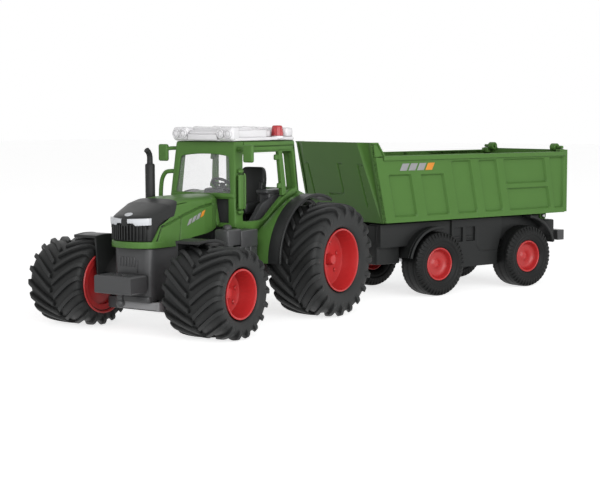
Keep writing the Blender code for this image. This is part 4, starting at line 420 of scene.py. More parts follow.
class Paint:
    """A material in the making: one Principled shader and the nodes that feed it."""

    def __init__(self, name, **constants):
        self.material = bpy.data.materials.new(name)
        self.material.use_nodes = True
        self.tree = self.material.node_tree
        self.shader = self.tree.nodes["Principled BSDF"]
        for socket, value in constants.items():
            self.shader.inputs[socket.replace("_", " ")].default_value = value

    def node(self, kind, settings=None, inputs=None, output=0):
        """Adds a node: its settings first, then the values or links of its sockets."""
        made = self.tree.nodes.new(kind)
        for key, value in (settings or {}).items():
            setattr(made, key, value)
        for key, value in (inputs or {}).items():
            self.feed(made.inputs[key], value)
        return Value(self, made.outputs[output])

    def feed(self, socket, value):
        if isinstance(value, Value):
            self.tree.links.new(value.socket, socket)
        else:
            socket.default_value = value

    def maths(self, operation, first, second):
        return self.node("ShaderNodeMath", {"operation": operation}, {0: first, 1: second})

    def place(self):
        return self.node("ShaderNodeTexCoord", output="Object")

    def noise(self, scale, detail=3.0, roughness=0.55):
        """Cloudy value about 0.5, at scale waves to the metre."""
        inputs = {"Vector": self.place(), "Scale": scale, "Detail": detail, "Roughness": roughness}
        return self.node("ShaderNodeTexNoise", None, inputs)

    def unshaded_share(self, reach):
        """Mask for painted shade: one in the open and towards zero in crevices, looking as far as reach in
        millimetres.
        """
        inputs = {"Distance": reach * MM}
        return self.node("ShaderNodeAmbientOcclusion", {"samples": 6}, inputs, output="AO")

    def mix(self, factor, first, second):
        """Colour between two colours."""
        inputs = {"Factor": factor, 6: first, 7: second}
        return self.node("ShaderNodeMix", {"data_type": "RGBA"}, inputs, output=2)

    def set(self, socket, value):
        self.feed(self.shader.inputs[socket], value)

    def bump(self, height, strength, distance):
        """Raises the surface's normal by a height value, distance in millimetres."""
        inputs = {"Height": height, "Strength": strength, "Distance": distance * MM}
        self.set("Normal", self.node("ShaderNodeBump", None, inputs))


def rgba(colour, gain):
    """Opaque shader colour, brightened by a gain."""
    return (*(min(1.0, c * gain) for c in colour[:3]), 1.0)


def plain(tone):
    """Opaque neutral shader colour."""
    return (tone, tone, tone, 1.0)


def moulded(name, colour, roughness, grain=1400.0, grain_height=0.02, tone=0.06, crevice=0.3, reach=6.0,
            **constants):
    """Moulded plastic: a drifting tone, painted shade in crevices, with a fine eroded grain and uneven sheen."""
    paint = Paint(name, **constants)
    drift = paint.noise(38.0, 3.0)
    fine = paint.noise(grain, 2.0)
    toned = paint.mix(drift, rgba(colour, 1.0 - tone), rgba(colour, 1.0 + tone))
    # Painted shade: the colour darkens by the crevice gain where the mask finds crevices.
    paint.set("Base Color", paint.mix(paint.unshaded_share(reach), rgba(colour, crevice), toned))
    paint.set("Roughness", roughness - 0.07 + 0.14 * paint.noise(160.0, 4.0))
    paint.bump(fine, 0.35, grain_height)
    return paint.material


def rubber(name, colour):
    """Soft tyre rubber: satin, with painted shade that darkens it between its lugs, pale dust in patches and a
    fine pebbled skin.
    """
    paint = Paint(name, Specular_IOR_Level=0.17)
    dust = paint.noise(90.0, 5.0, 0.6)
    fine = paint.noise(1900.0, 2.0)
    unshaded_share = paint.unshaded_share(5.0)
    dusty = paint.mix(dust, rgba(colour, 0.82), rgba(colour, 1.2))
    # Painted shade: near black between the lugs, where the squared mask falls; the dust patches are the rubber's
    # own.
    paint.set("Base Color", paint.mix(unshaded_share * unshaded_share, rgba(colour, 0.12), dusty))
    paint.set("Roughness", 0.38 + 0.2 * dust)
    paint.bump(fine, 0.4, 0.03)
    return paint.material


def pane(name, colour, alpha):
    """Thin clear pane: part see-through, part pale surface with a hard gloss and faint moulding flow."""
    paint = Paint(name, Roughness=0.06, IOR=1.49)
    flow = paint.noise(60.0, 2.0)
    paint.set("Base Color", paint.mix(flow, rgba(colour, 0.96), rgba(colour, 1.04)))
    paint.set("Alpha", alpha - 0.04 + 0.08 * flow)
    return paint.material


def steel(name, colour):
    """Plain drawn steel with long fine scratches."""
    paint = Paint(name, Metallic=1.0)
    scratch = paint.noise(700.0, 4.0)
    paint.set("Base Color", paint.mix(scratch, rgba(colour, 0.85), rgba(colour, 1.15)))
    paint.set("Roughness", 0.24 + 0.16 * scratch)
    return paint.material


# Settings


def colour_setting(name, description, default):
    return bpy.props.FloatVectorProperty(
        name=name, description=description, subtype="COLOR", size=3, min=0.0, max=1.0, default=default)


def length_setting(name, description, default):
    return bpy.props.FloatProperty(name=name, description=description, unit="LENGTH", default=default * MM)


def angle_setting(name, description, degrees):
    return bpy.props.FloatProperty(
        name=name, description=description, subtype="ANGLE", default=math.radians(degrees))


def count_setting(name, description, default):
    return bpy.props.IntProperty(name=name, description=description, default=default)


class ToyColours(bpy.types.PropertyGroup):
    """Colours of the toy's finishes."""

    green: colour_setting("Green", "Body panels, cab and tipping body", (0.082, 0.187, 0.042))
    grey: colour_setting("Grey", "Chassis, weight, tanks and cab tub", (0.060, 0.061, 0.063))
    # Frame is a darker copy of the grey: painted shade for the shade under the tipping body; the exhaust takes it
    # too.
    frame: colour_setting("Frame", "Trailer frame, skirts and exhaust", (0.018, 0.019, 0.019))
    road_rubber: colour_setting("Road Rubber", "Trailer tyres", (0.008, 0.0085, 0.0085))
    black: colour_setting("Black", "Grille, hood panel, mudguards and cab fittings", (0.021, 0.022, 0.022))
    rubber: colour_setting("Rubber", "Tractor tyres", (0.027, 0.028, 0.028))
    red: colour_setting("Red", "Rims", (0.52, 0.026, 0.027))
    clear: colour_setting("Clear", "Roof moulding", (0.95, 0.94, 0.96))
    lamp: colour_setting("Lamp", "Headlight lenses", (0.66, 0.68, 0.71))
    pane: colour_setting("Pane", "Windshield", (0.62, 0.62, 0.65))
    beacon: colour_setting("Beacon", "Warning beacon", (0.62, 0.045, 0.055))
    pale_grey: colour_setting("Pale Grey", "Plain stripes and the front beam", (0.30, 0.30, 0.31))
    pale_orange: colour_setting("Orange", "Plain stripes on hood and tipping body", (0.72, 0.26, 0.02))
    metal: colour_setting("Metal", "Axles and pins", (0.45, 0.45, 0.46))
    gear: colour_setting("Gear", "Motor pinion and drive gear", (0.78, 0.76, 0.72))


class TyreSizes(bpy.types.PropertyGroup):
    """Tread sizes of the tyres."""

    front_lugs: count_setting("Front Lugs", "Lugs on each side of a front tyre", 18)
    rear_lugs: count_setting("Rear Lugs", "Lugs on each side of a rear tyre", 20)
    lug_height: length_setting("Lug Height", "Height of a tractor tyre's lug", 2.8)
    lug_sweep: angle_setting("Lug Sweep", "Turn of a lug from its inner end to the shoulder", 33.0)
    trailer_blocks: count_setting("Trailer Blocks", "Shoulder blocks round a trailer tyre", 44)
    block_height: length_setting("Block Height", "Depth of the trailer tread", 1.3)


class CameraSizes(bpy.types.PropertyGroup):
    """Place and lens of the camera, in the tractor frame."""

    place: bpy.props.FloatVectorProperty(
        name="Place", description="Camera place from the front axle", subtype="TRANSLATION", unit="LENGTH",
        default=(0.6794, -0.7867, 0.1653))
    azimuth: angle_setting("Azimuth", "Turn of the view to the tractor's left", 34.24)
    fall: angle_setting("Fall", "Downward tilt of the view", 5.29)
    roll: angle_setting("Roll", "Roll about the view", -0.22)
    lens: bpy.props.FloatProperty(name="Lens", description="Focal length", unit="CAMERA", default=80.97)


def settings():
    return bpy.context.scene.toy_looks


class ToyLooks(bpy.types.PropertyGroup):
    """Everything a user would change."""

    colours: bpy.props.PointerProperty(type=ToyColours, name="Colours", description="Finish colours")
    tyres: bpy.props.PointerProperty(type=TyreSizes, name="Tyres", description="Tread sizes")
    camera: bpy.props.PointerProperty(type=CameraSizes, name="Camera", description="Camera place and lens")


FINISHES = {}


class TOY_OT_finishes(bpy.types.Operator):
    """Makes the materials that the pieces share."""

    bl_idname = "toy.finishes"
    bl_label = "Finishes"

    def execute(self, context):
        c = settings().colours
        # Every moulded finish paints shade into its crevices: crevice sets how dark, reach how far the mask looks.
        FINISHES.update(
            green_plastic=moulded("green_plastic", c.green, 0.36, Specular_IOR_Level=0.17),
            grey_plastic=moulded(
                "grey_plastic", c.grey, 0.32, grain=1100.0, grain_height=0.015, Specular_IOR_Level=0.32),
            black_plastic=moulded(
                "black_plastic", c.black, 0.36, grain=1200.0, grain_height=0.015, Specular_IOR_Level=0.22),
            # Painted shade: the grey darkened for the trailer frame under the tipping body.
            frame_plastic=moulded("frame_plastic", c.frame, 0.42, grain=1100.0, Specular_IOR_Level=0.2),
            road_rubber=rubber("road_rubber", c.road_rubber),
            tyre_rubber=rubber("tyre_rubber", c.rubber),
            red_plastic=moulded("red_plastic", c.red, 0.34, tone=0.04, crevice=0.32, reach=15.0),
            roof_plastic=moulded(
                "roof_plastic", c.clear, 0.2, tone=0.03, crevice=0.45, Transmission_Weight=0.12, IOR=1.46),
            lamp_plastic=moulded("lamp_plastic", c.lamp, 0.14, tone=0.05),
            windshield_plastic=pane("windshield_plastic", c.pane, 0.13),
            beacon_plastic=moulded("beacon_plastic", c.beacon, 0.2, Transmission_Weight=0.3),
            steel=steel("steel", c.metal),
            gear_plastic=moulded("gear_plastic", c.gear, 0.4),
            pale_grey=moulded("pale_grey", c.pale_grey, 0.35, tone=0.03),
            pale_orange=moulded("pale_orange", c.pale_orange, 0.35, tone=0.03),
        )
        return {"FINISHED"}


# Wheels


# Share of a lug's pitch, and the share of its height there
LUG_STEPS = ((0.25, 0.0), (0.325, 0.0), (0.333, 0.12), (0.35, 0.94), (0.362, 1.0), (0.5, 1.0))
# Share of the half width and of the height over the bead, from the middle of the tread to the bead
CARCASS = ((0.0, 1.0), (0.035, 1.0), (0.075, 1.0), (0.3, 0.998), (0.55, 0.99), (0.76, 0.97), (0.89, 0.925),
           (0.96, 0.84), (0.995, 0.69), (1.0, 0.5), (0.985, 0.30), (0.945, 0.13), (0.86, 0.0))
# Share of the lug's height at each of those places
LUG_REACH = (0.0, 0.0, 1.0, 1.0, 1.0, 1.0, 1.0, 0.8, 0.5, 0.05, 0.0, 0.0, 0.0)


def lug_columns(lugs):
    """Angles of the grid's columns and the lug height on them, for the two staggered halves.

    Columns stand at each lug's edges, so its walls are crisp, and the far half is half a pitch later."""
    rise = np.array(LUG_STEPS)
    near = np.vstack([rise, [[1.0, 0.0]] - rise[-2::-1] * [[1.0, -1.0]]])
    shares = np.concatenate([near[:-1, 0], near[:-1, 0] + 0.5])
    height = np.concatenate([near[:-1, 1], np.zeros(len(near) - 1)])
    far = np.roll(height, len(near) - 1)
    angle = (np.arange(lugs)[:, None] + shares).ravel() * math.tau / lugs
    return angle, np.tile(height, lugs), np.tile(far, lugs)


def lugged_tyre(radius, width, bead, lugs, lug_height, sweep):
    """Balloon tyre: a carcass section carried round the axle and raised along its normals by swept lugs.

    A column's angle grows by the sweep from the middle to the shoulder, so columns run along the lugs."""
    half = width / 2
    base = radius - lug_height
    side = smooth_curve(np.column_stack([CARCASS, LUG_REACH]), 5)
    across, rise, reach = side.T
    reach = np.clip(reach, 0.0, 1.0)
    section = np.column_stack([across * (half - 0.5), bead + rise * (base - bead)])
    section = np.vstack([section[::-1], section[1:] * (-1, 1)])
    reach = np.concatenate([reach[::-1], reach[1:]])
    share = np.concatenate([across[::-1], across[1:]])
    near = np.arange(len(section)) < len(across)
    slope = np.gradient(section, axis=0)
    normal = np.column_stack([-slope[:, 1], slope[:, 0]])
    normal *= np.sign(normal[len(across) - 1, 1])
    normal /= np.linalg.norm(normal, axis=1, keepdims=True)
    angle, near_height, far_height = lug_columns(lugs)
    height = np.where(near, near_height[:, None], far_height[:, None]) * reach * lug_height
    bend = np.clip(share, 0.0, 0.95)
    turn = angle[:, None] + sweep * (1.12 * bend - 0.12 * bend**2)
    along = section[:, 0] + height * normal[:, 0]
    out = section[:, 1] + height * normal[:, 1]
    return round_x(along, out, turn)


# Share of the half width and of the height over the bead, then the notch's share of its depth
TREAD = ((0.0, 0.985), (0.10, 0.985), (0.13, 1.0), (0.50, 0.995), (0.53, 0.97), (0.57, 0.97), (0.60, 0.99),
         (0.80, 0.965), (0.90, 0.91), (0.97, 0.80), (1.0, 0.62), (0.99, 0.45), (0.955, 0.40), (0.94, 0.36),
         (0.93, 0.24), (0.90, 0.18), (0.86, 0.08), (0.78, 0.0))
NOTCH = (0, 0, 0, 0, 0, 0, 0, 0.1, 1.0, 1.0, 0.5, 0, 0, 0, 0, 0, 0, 0)


def blocked_tyre(radius, width, bead, blocks, depth):
    """Road tyre: a ribbed section carried round the axle, with notches between its shoulder blocks."""
    half = width / 2
    across, rise, notch = smooth_curve(np.column_stack([TREAD, NOTCH]), 3).T
    section = np.column_stack([across * half, bead + rise * (radius - bead)])
    section = np.vstack([section[::-1], section[1:] * (-1, 1)])
    notch = np.clip(np.concatenate([notch[::-1], notch[1:]]), 0.0, 1.0)
    share = np.array([0.0, 0.06, 0.12, 0.56, 0.62, 0.68])
    cut = np.array([1.0, 0.9, 0.0, 0.0, 0.9, 1.0])
    turn = ((np.arange(blocks)[:, None] + share).ravel() * math.tau / blocks)[:, None]
    fall = np.tile(cut, blocks)[:, None] * notch * depth
    out = section[:, 1] - fall
    along = section[:, 0] * (1 - 0.25 * fall / half)
    return round_x(along, out, turn)


LIP_RADIUS = {"front": 18.96, "rear": 25.98, "trailer": 15.17}
# Tyre past its node inward and outward, radius of the cup behind the rim and height of the hub boss
WHEEL_SHAPES = {"front": (3.8, 1.6, 24.4, 2.6), "rear": (5.0, 1.6, 30.0, 6.6)}
DISH_DEPTH = 14.5
HUB_RADIUS = 4.4
RIM_BOLTS = 6
TRAILER_RIM_INSET = 2.3
WHEEL_JOINTS = {"front": "front_spin_{side}", "rear": "rear_spin"}


def wheel_place(node):
    """Frame function of a wheel: its own X along the axle, pointing away from the vehicle's middle."""
    low, high = node_box(node)
    centre = (low + high) / 2
    end, side = node.split("_")[0], node.split("_")[-1]
    if end in WHEEL_JOINTS:
        centre[1:] = JOINTS[WHEEL_JOINTS[end].format(side=side)]["pos_m"][1:]
    turn = TRAILER_TURN if end == "trailer" else np.eye(3)
    flip = np.diag([1.0 if side == "left" else -1.0, 1.0, 1.0])
    return lambda points: np.asarray(points) @ flip * MM @ turn + centre


def dished_rim(lip, dish, hub, boss, face, rear, cup):
    """Rim section carried round the axle: rolled lip, barrel, dished disc, hub boss and a cup behind."""
    floor = face - dish
    front = [(face - 1.9, lip - 1.6), (face - 1.5, lip - 0.3), (face - 0.9, lip), (face - 0.2, lip - 0.25)]
    front += [(face, lip - 0.9), (face - 0.25, lip - 1.5), (face - 1.2, lip - 1.9)]
    front += [(face - 0.5 * dish, lip - 2.5), (floor + 0.3 * dish, lip - 3.2), (floor + 0.7, lip - 4.2)]
    front += [(floor, lip - 6.0), (floor + 0.3, hub + 1.6), (floor + 0.8, hub + 0.6)]
    front += [(floor + 0.7 * boss, hub), (floor + 0.93 * boss, hub - 0.7)]
    front += [(floor + boss, 0.5 * hub), (floor + boss, 0.0)]
    back = [(rear + 3.2, 0.0), (rear + 3.2, 6.0), (rear + 5.0, 7.2), (rear + 4.8, cup - 4.0)]
    back += [(rear + 3.6, cup - 2.7), (rear + 0.6, cup - 1.8), (rear, cup - 1.2), (rear, cup - 0.5)]
    back += [(rear + 0.6, cup), (rear + 1.4, cup - 0.2), (rear + 2.4, lip - 1.6)]
    return turned(front + back, 96)


def ring_of(surface, count, radius, start):
    """Copies of a surface set round the X axis at a radius: each turned by its share of a circle."""
    points, faces = surface
    angle = start + np.linspace(0, math.tau, count, endpoint=False)[:, None]
    cosine, sine = np.cos(angle), np.sin(angle)
    y, z = points[:, 1] + radius, points[:, 2]
    copies = grid_of(points[:, 0], y * cosine - z * sine, y * sine + z * cosine)
    return joined(*((copy, faces) for copy in copies))


def bolt(foot, height, radius):
    """Domed bolt head along X: a short barrel closed by a rounded top."""
    profile = [(foot - 0.4, 0.0), (foot - 0.4, radius), (foot + 0.6 * height, radius),
               (foot + 0.9 * height, 0.72 * radius), (foot + height, 0.0)]
    return turned(profile, 16)


class TOY_OT_tractor_wheels(bpy.types.Operator):
    """Lugged tyres and dished rims of the tractor."""

    bl_idname = "toy.tractor_wheels"
    bl_label = "Tractor Wheels"

    def execute(self, context):
        sizes = settings().tyres
        for end, lugs in (("front", sizes.front_lugs), ("rear", sizes.rear_lugs)):
            for side in ("left", "right"):
                self.wheel(end, side, lugs, sizes)
        return {"FINISHED"}

    def wheel(self, end, side, lugs, sizes):
        tyre_node = f"{end}_tyre_{side}"
        rim_node = f"{end}_rim_{side}"
        place = wheel_place(tyre_node)
        tyre_low, tyre_high = (corner / MM for corner in node_box(tyre_node))
        rim_low, rim_high = (corner / MM for corner in node_box(rim_node))
        radius = (tyre_high[1] - tyre_low[1]) / 2
        width = tyre_high[0] - tyre_low[0]
        lip = LIP_RADIUS[end]
        face = width / 2 - (tyre_high[0] - rim_high[0] if side == "left" else rim_low[0] - tyre_low[0])
        inward, outward, cup, boss = WHEEL_SHAPES[end]
        wide = width + inward + outward
        tyre = lugged_tyre(radius, wide, lip + 0.2, lugs, sizes.lug_height / MM, sizes.lug_sweep)
        tyre = moved(tyre, ((outward - inward) / 2, 0.0, 0.0))
        put(f"{end}_{side}_lugged_tyre", tyre, tyre_node, place)
        rim = dished_rim(lip, DISH_DEPTH, HUB_RADIUS, boss, face, -width / 2 - inward - 0.4, cup)
        bolts = ring_of(bolt(face - DISH_DEPTH, 1.6, 1.5), RIM_BOLTS, (lip + HUB_RADIUS) / 2 - 1.2, 0.3)
        put(f"{end}_{side}_dished_rim", joined(rim, bolts), rim_node, place)


class TOY_OT_trailer_wheels(bpy.types.Operator):
    """Blocked tyres and shallow rims of the trailer."""

    bl_idname = "toy.trailer_wheels"
    bl_label = "Trailer Wheels"

    def execute(self, context):
        for end in ("front", "rear"):
            for side in ("left", "right"):
                self.wheel(end, side, settings().tyres)
        return {"FINISHED"}

    def wheel(self, end, side, sizes):
        tyre_node = f"trailer_tyre_{end}_{side}"
        rim_node = f"trailer_rim_{end}_{side}"
        place = wheel_place(tyre_node)
        tyre_low, tyre_high = (corner / MM for corner in node_box(tyre_node))
        radius = (tyre_high[2] - tyre_low[2]) / 2
        cosine, sine = abs(TRAILER_X[0]), abs(TRAILER_X[1])
        width = (tyre_high[0] - tyre_low[0] - 2 * radius * sine) / cosine
        lip = LIP_RADIUS["trailer"]
        face = width / 2 - TRAILER_RIM_INSET
        tyre = blocked_tyre(radius, width, lip + 0.1, sizes.trailer_blocks, sizes.block_height / MM)
        put(f"trailer_{end}_{side}_tyre", tyre, tyre_node, place, "road_rubber")
        rim = dished_rim(lip, dish=6.6, hub=3.4, boss=1.5, face=face, rear=4.0 - width / 2, cup=lip - 1.0)
        put(f"trailer_{end}_{side}_rim", rim, rim_node, place)


# Bodywork helpers


def leaned(surface, foot, slope):
    """The surface pushed along Y in proportion to its height over a foot level."""
    points = surface[0].copy()
    points[:, 1] += (points[:, 2] - foot) * slope
    return points, surface[1]


def upright(profile, centre, count=32):
    """A profile of (height, radius) pairs turned about an upright axis."""
    points, faces = turned(profile, count)
    return points[:, [1, 2, 0]] + (*centre, 0.0), faces


def arch_band(centre, radius, thick, start, end, low, high, round_by=0.4, count=25):
    """Curved strip: the ring sector between two radii and two angles, carried along X with rounded ends."""
    outer = arc(centre, radius, start, end, count)
    inner = arc(centre, radius - thick, end, start, count)
    return plate(np.vstack([outer, inner]), "X", low, high, round_by)


def eye(axis, hole, radius, rise, outside, thick):
    """Lug with a hole: a ring whose upper half is squared out to meet the piece above it."""
    angle = np.linspace(0, math.tau, 32, endpoint=False)
    way = np.column_stack([np.cos(angle), np.sin(angle)])
    wide, tall = np.maximum(np.abs(way), 1e-6).T
    square = np.minimum(radius / wide, rise / tall)
    reach = np.where(way[:, 1] > 0, square, radius)[:, None]
    return frame_ring(axis + way * reach, axis + way * hole, "X", outside, thick, 0.3)


def stripe(start, end, low, high, slant, outside):
    """Thin slanted stripe on a left side: a parallelogram in Y and Z, carried a little along X."""
    push = (high - low) * slant
    outline = ((start, low), (end, low), (end + push, high), (start + push, high))
    return plate(outline, "X", outside - 0.4, outside + 0.12, 0.04)


# Tipping body


BED_HALF, BED_INNER = 55.45, 52.95
BED_FLOOR = (69.5, 72.0)
BED_REAR = 288.0
BED_RAIL = 129.0
BED_TOP = 141.0
PANEL_LEVEL = 123.5
PANEL_EDGE = 1.6
PANEL_SINK = 1.9
PANEL_SPANS = ((61.4, 88.0, 74.2, 112.5), (99.2, 126.8, 74.2, 112.0), (137.5, 162.1, 74.2, 123.4),
               (171.7, 194.9, 74.2, 123.2), (203.7, 259.1, 74.2, 95.8), (203.7, 259.1, 99.5, 123.6),
               (265.3, 286.2, 74.2, 124.0))
BED_PANELS = tuple((*span, PANEL_SINK) for span in PANEL_SPANS)
FRONT_GROOVES = (((-44.0, 121.0), (-38.7, 120.9), (-37.5, 92.0)),
                 ((12.0, 121.5), (6.9, 121.3), (7.6, 99.0), (6.6, 95.2), (3.4, 93.5), (-14.0, 93.2)),
                 ((42.0, 120.7), (36.1, 120.5), (38.0, 83.7)))
GATE_HALF = 55.0
GATE_INSIDE, GATE_OUTSIDE = 288.2, 291.6
GATE_PANELS = ((-49, 11), (-33, 19), (-9, 18), (14, 19), (38, 11))
GATE_AXIS = np.array([285.5, 133.0])
GATE_LUGS = (40.0, 47.0)
TIP_AXIS = np.array([281.0, 65.0])


def bed_side():
    """Left wall: a sheet with sunk panels, sheared so that its upright edges lean back to the floor."""
    u = spread(np.linspace(47.1, BED_REAR, 60), panel_lines(BED_PANELS, PANEL_EDGE, 0))
    z = spread(np.linspace(BED_FLOOR[0], BED_RAIL - 0.3, 16), panel_lines(BED_PANELS, PANEL_EDGE, 2))
    z = z[:, None]
    lean = np.interp(u, (50.0, 262.0, 286.2), (0.212, 0.205, 0.0))
    y = u + (PANEL_LEVEL - z) * lean
    x = BED_HALF - sunk(u, z, BED_PANELS, PANEL_EDGE)
    return slab(grid_of(x, y, z), grid_of(BED_INNER, y, z))


def bed_front():
    """Leaning front wall: a flat field with moulded grooves and a cove from each corner post to a side."""
    z = np.linspace(BED_FLOOR[0], BED_TOP, 130)[:, None]
    post = np.interp(z, (72.0, 137.0), (52.6, 41.6))
    cove = post + (BED_HALF - post) * np.linspace(0.0, 1.0, 11)[1:]
    x = np.hstack([-cove[:, ::-1], np.linspace(-1.0, 1.0, 201) * post, cove])
    lead = 58.2 - (z - BED_FLOOR[0]) * 0.262
    edge = 58.7 - (z - BED_FLOOR[0]) * 0.214
    share = np.clip((np.abs(x) - post) / (BED_HALF - post), 0.0, 1.0)
    y = lead + (edge - lead) * share + 1.9 * np.sqrt(np.sin(math.pi * share).clip(0.0))
    for line in FRONT_GROOVES:
        y = y + groove(near_line(x, z, line), 1.5, 0.9)
    return slab(grid_of(x, y, z), grid_of(x, edge + 3.2, z))


def tipping_body():
    """Floor, leaning front, panelled sides with rails and cheeks, gate brackets and pins, and tip lugs."""
    floor = block((-BED_INNER - 0.5, 59.0, BED_FLOOR[0]), (BED_INNER + 0.5, 287.9, BED_FLOOR[1]), 0.4)
    rail = block((BED_INNER, 58.0, 124.7), (56.7, BED_REAR, BED_RAIL), 0.7)
    cheek = ((43.3, BED_TOP), (51.5, BED_TOP), (60.4, 127.5), (46.2, 127.5))
    cheek = plate(cheek, "X", BED_INNER, BED_HALF, 0.4)
    flange = ((43.6, 139.7), (43.4, BED_TOP), (51.7, BED_TOP), (61.2, 127.0), (59.6, 126.4), (50.9, 139.7))
    flange = plate(flange, "X", BED_INNER, 56.5, 0.5)
    bracket = block((BED_INNER, 281.5, 123.0), (BED_HALF, BED_REAR, 131.0), 0.8)
    web = block((47.6, 282.5, 126.0), (BED_INNER + 1.0, BED_REAR, 131.4), 0.8)
    pin = tube([(x, *GATE_AXIS) for x in (54.0, 38.5)], 1.5)
    lug = eye(TIP_AXIS, 2.1, 4.3, 5.2, 33.5, 4.2)
    side = joined(bed_side(), rail, cheek, flange, bracket, web, pin, lug)
    return joined(floor, bed_front(), both_sides(side))


def tailgate():
    """Rear flap: a sheet with sunk panels on its outside, hung from two round lugs."""
    panels = [(x, x + wide, 75.0, 124.0, 1.0) for x, wide in GATE_PANELS]
    x = spread(np.linspace(-GATE_HALF, GATE_HALF, 30), panel_lines(panels, PANEL_EDGE, 0))
    z = spread(np.linspace(70.0, 130.6, 16), panel_lines(panels, PANEL_EDGE, 2))[:, None]
    y = GATE_OUTSIDE - sunk(x, z, panels, PANEL_EDGE)
    flap = slab(grid_of(x, y, z), grid_of(x, GATE_INSIDE, z))
    near, far = GATE_LUGS
    ring = [(near, 1.8), (near, 3.3), (near + 0.5, 3.7), (far - 0.5, 3.7), (far, 3.3), (far, 1.8)]
    lug = moved(turned(ring, 32), (0.0, *GATE_AXIS))
    saddle = fillet(((287.0, 129.0), (291.5, 126.0), (291.5, 130.0), (288.5, 134.6), (286.8, 134.6)), 1.0)
    saddle = plate(saddle, "X", near + 1.0, far - 1.0, 0.5)
    return joined(flap, both_sides(joined(lug, saddle)))


class TOY_OT_tipper(bpy.types.Operator):
    """Tipping body of the trailer with its plain stripes, and the tailgate."""

    bl_idname = "toy.tipper"
    bl_label = "Tipping Body"

    def execute(self, context):
        put("tipper_shell", tipping_body(), "tipper_body", on_trailer)
        put("tailgate_shell", tailgate(), "tailgate", on_trailer)
        bars = [stripe(y, y + 8.0, 115.6, 122.0, 0.5, BED_HALF) for y in (77.0, 87.0, 97.0, 107.0)]
        for name, part, ending in (("grey", bars[:-1], "stripes"), ("orange", bars[-1:], "stripe")):
            part = both_sides(joined(*part))
            put(f"bed_{name}_{ending}", part, "tipper_body", on_trailer, f"pale_{name}", stands_for=False)
        return {"FINISHED"}


# Trailer frame


TRAILER_AXLES = ((123.5, 29.34), (236.9, 29.34))
SKIRT_X = 46.0
SKIRT_SPAN = (148.0, 212.0)


def skirt():
    """Left skirt between the wheels: a sheet with two louvred openings and a bent line beside them."""
    front, rear = SKIRT_SPAN
    low, high, pitch, edge = 47.0, 60.5, 2.6, 0.5
    louvres = ((151.0, 162.0, low, high, 3.6), (166.0, 177.5, low, high, 3.6))
    y = spread(np.linspace(front, rear, 90), panel_lines(louvres, edge, 0))
    z = spread(np.linspace(23.0, 67.5, 70), panel_lines(louvres, edge, 2))[:, None]
    ribs = (0.5 + 0.5 * np.cos((z - low) * math.tau / pitch)) * (z < 54.5)
    depth = sunk(y, z, louvres, edge)
    depth = depth - np.minimum(depth, 2.4) * ribs
    line = ((180.0, 60.0), (180.0, 42.0), (184.0, 37.0), (205.0, 36.0))
    depth = depth + groove(near_line(y, z, line), 0.9, 0.5)
    lean = np.interp(y, (front, 152.5, 207.0, rear), (6.0, 0.0, 0.0, -6.0))
    rise = np.clip((z - 34.0) / 20.0, 0.0, 1.0)
    spans = y + lean * (1.0 - rise)
    return slab(grid_of(SKIRT_X - depth, spans, z), grid_of(SKIRT_X - 6.0, spans, z))


def guard(centre, radius, start, end):
    """Half mudguard over a trailer wheel: a thin shell with a rolled double edge outside."""
    shell = arch_band(centre, radius, 1.5, start, end, 29.5, 55.2)
    rolled = arch_band(centre, radius + 0.9, 2.6, start, end, 54.4, 56.2, 0.8)
    inner_bead = arch_band(centre, radius + 0.7, 1.0, start, end, 51.4, 52.6, 0.4)
    return joined(shell, rolled, inner_bead)


def trailer_frame():
    """Beam, front block, sills, tail blocks, inner plates, skirts with louvres and half mudguards."""
    beam = block((-28.8, 62.7, 38.2), (28.8, 286.0, 59.8), 1.2)
    nose = fillet(((-40.0, 63.0), (40.0, 63.0), (40.0, 91.0), (-40.0, 91.0)), 3.0)
    nose = plate(nose, "Z", 31.0, 66.5, 0.8)
    sill = block((28.0, 64.0, 46.0), (44.4, 264.0, 68.0), 1.2)
    tail = block((28.0, 268.0, 40.0), (45.0, 285.0, 62.0), 1.5)
    inner_plate = block((27.0, 152.0, 26.0), (41.0, 208.0, 62.0), 1.0)
    front = guard(TRAILER_AXLES[0], 33.6, 168.0, 78.0)
    rear = guard(TRAILER_AXLES[1], 38.6, 84.0, 18.0)
    side = joined(sill, tail, inner_plate, skirt(), front, rear)
    return joined(beam, nose, both_sides(side))


class TOY_OT_trailer_frame(bpy.types.Operator):
    """Trailer frame with skirts and mudguards."""

    bl_idname = "toy.trailer_frame"
    bl_label = "Trailer Frame"

    def execute(self, context):
        put("trailer_frame_shell", trailer_frame(), "trailer_chassis", on_trailer, "frame_plastic")
        return {"FINISHED"}


# Hood


HOOD_LOW = 65.65
HOOD_REAR = 75.3
NOSE_BULGE = 6.7
NOSE_HALF = 19.6
NOSE_FRONT = -23.0
HOOD_HALF = ((NOSE_FRONT, 18.4), (-16, 19.8), (-8, 21.0), (5, 22.0), (46, 22.2), (57, 21.0), (66, 17.2),
             (HOOD_REAR, 12))
HOOD_CROWN = ((NOSE_FRONT, 88.2), (-19, 90.4), (-14, 92.4), (-8, 94.6), (3, 98.6), (14.6, 101.2),
              (30, 102.3), (HOOD_REAR, 102.4))
HOOD_SIDE = ((NOSE_FRONT, HOOD_LOW), (11, HOOD_LOW), (30, 71.0), (50, 73.0), (HOOD_REAR, 77.0))
HOOD_ROLL = ((NOSE_FRONT, 3.0), (0, 6.0), (HOOD_REAR, 8.0))
CROWN_POWER = 2 / 3.6
BOUNDARY = ((65.0, -15.6), (70.9, -15.6), (84.6, -6.8), (90.0, 9.0), (96.5, 11.1), (101.0, 14.6),
            (103.0, 14.6))
CREASE = ((-12.0, 66.0), (-5.0, 81.1), (16.9, 87.8), (39.7, 93.5), (60.0, 95.5))
SEAM = ((17.4, 87.2), (14.8, 66.0))
HATCH = ((11.5, 97.6), (24.0, 98.9), (25.5, 101.0))


def along(y, table):
    """Value at a place along Y, read from a table of (place, value) pairs."""
    places, values = np.transpose(table)
    return np.interp(y, places, values)


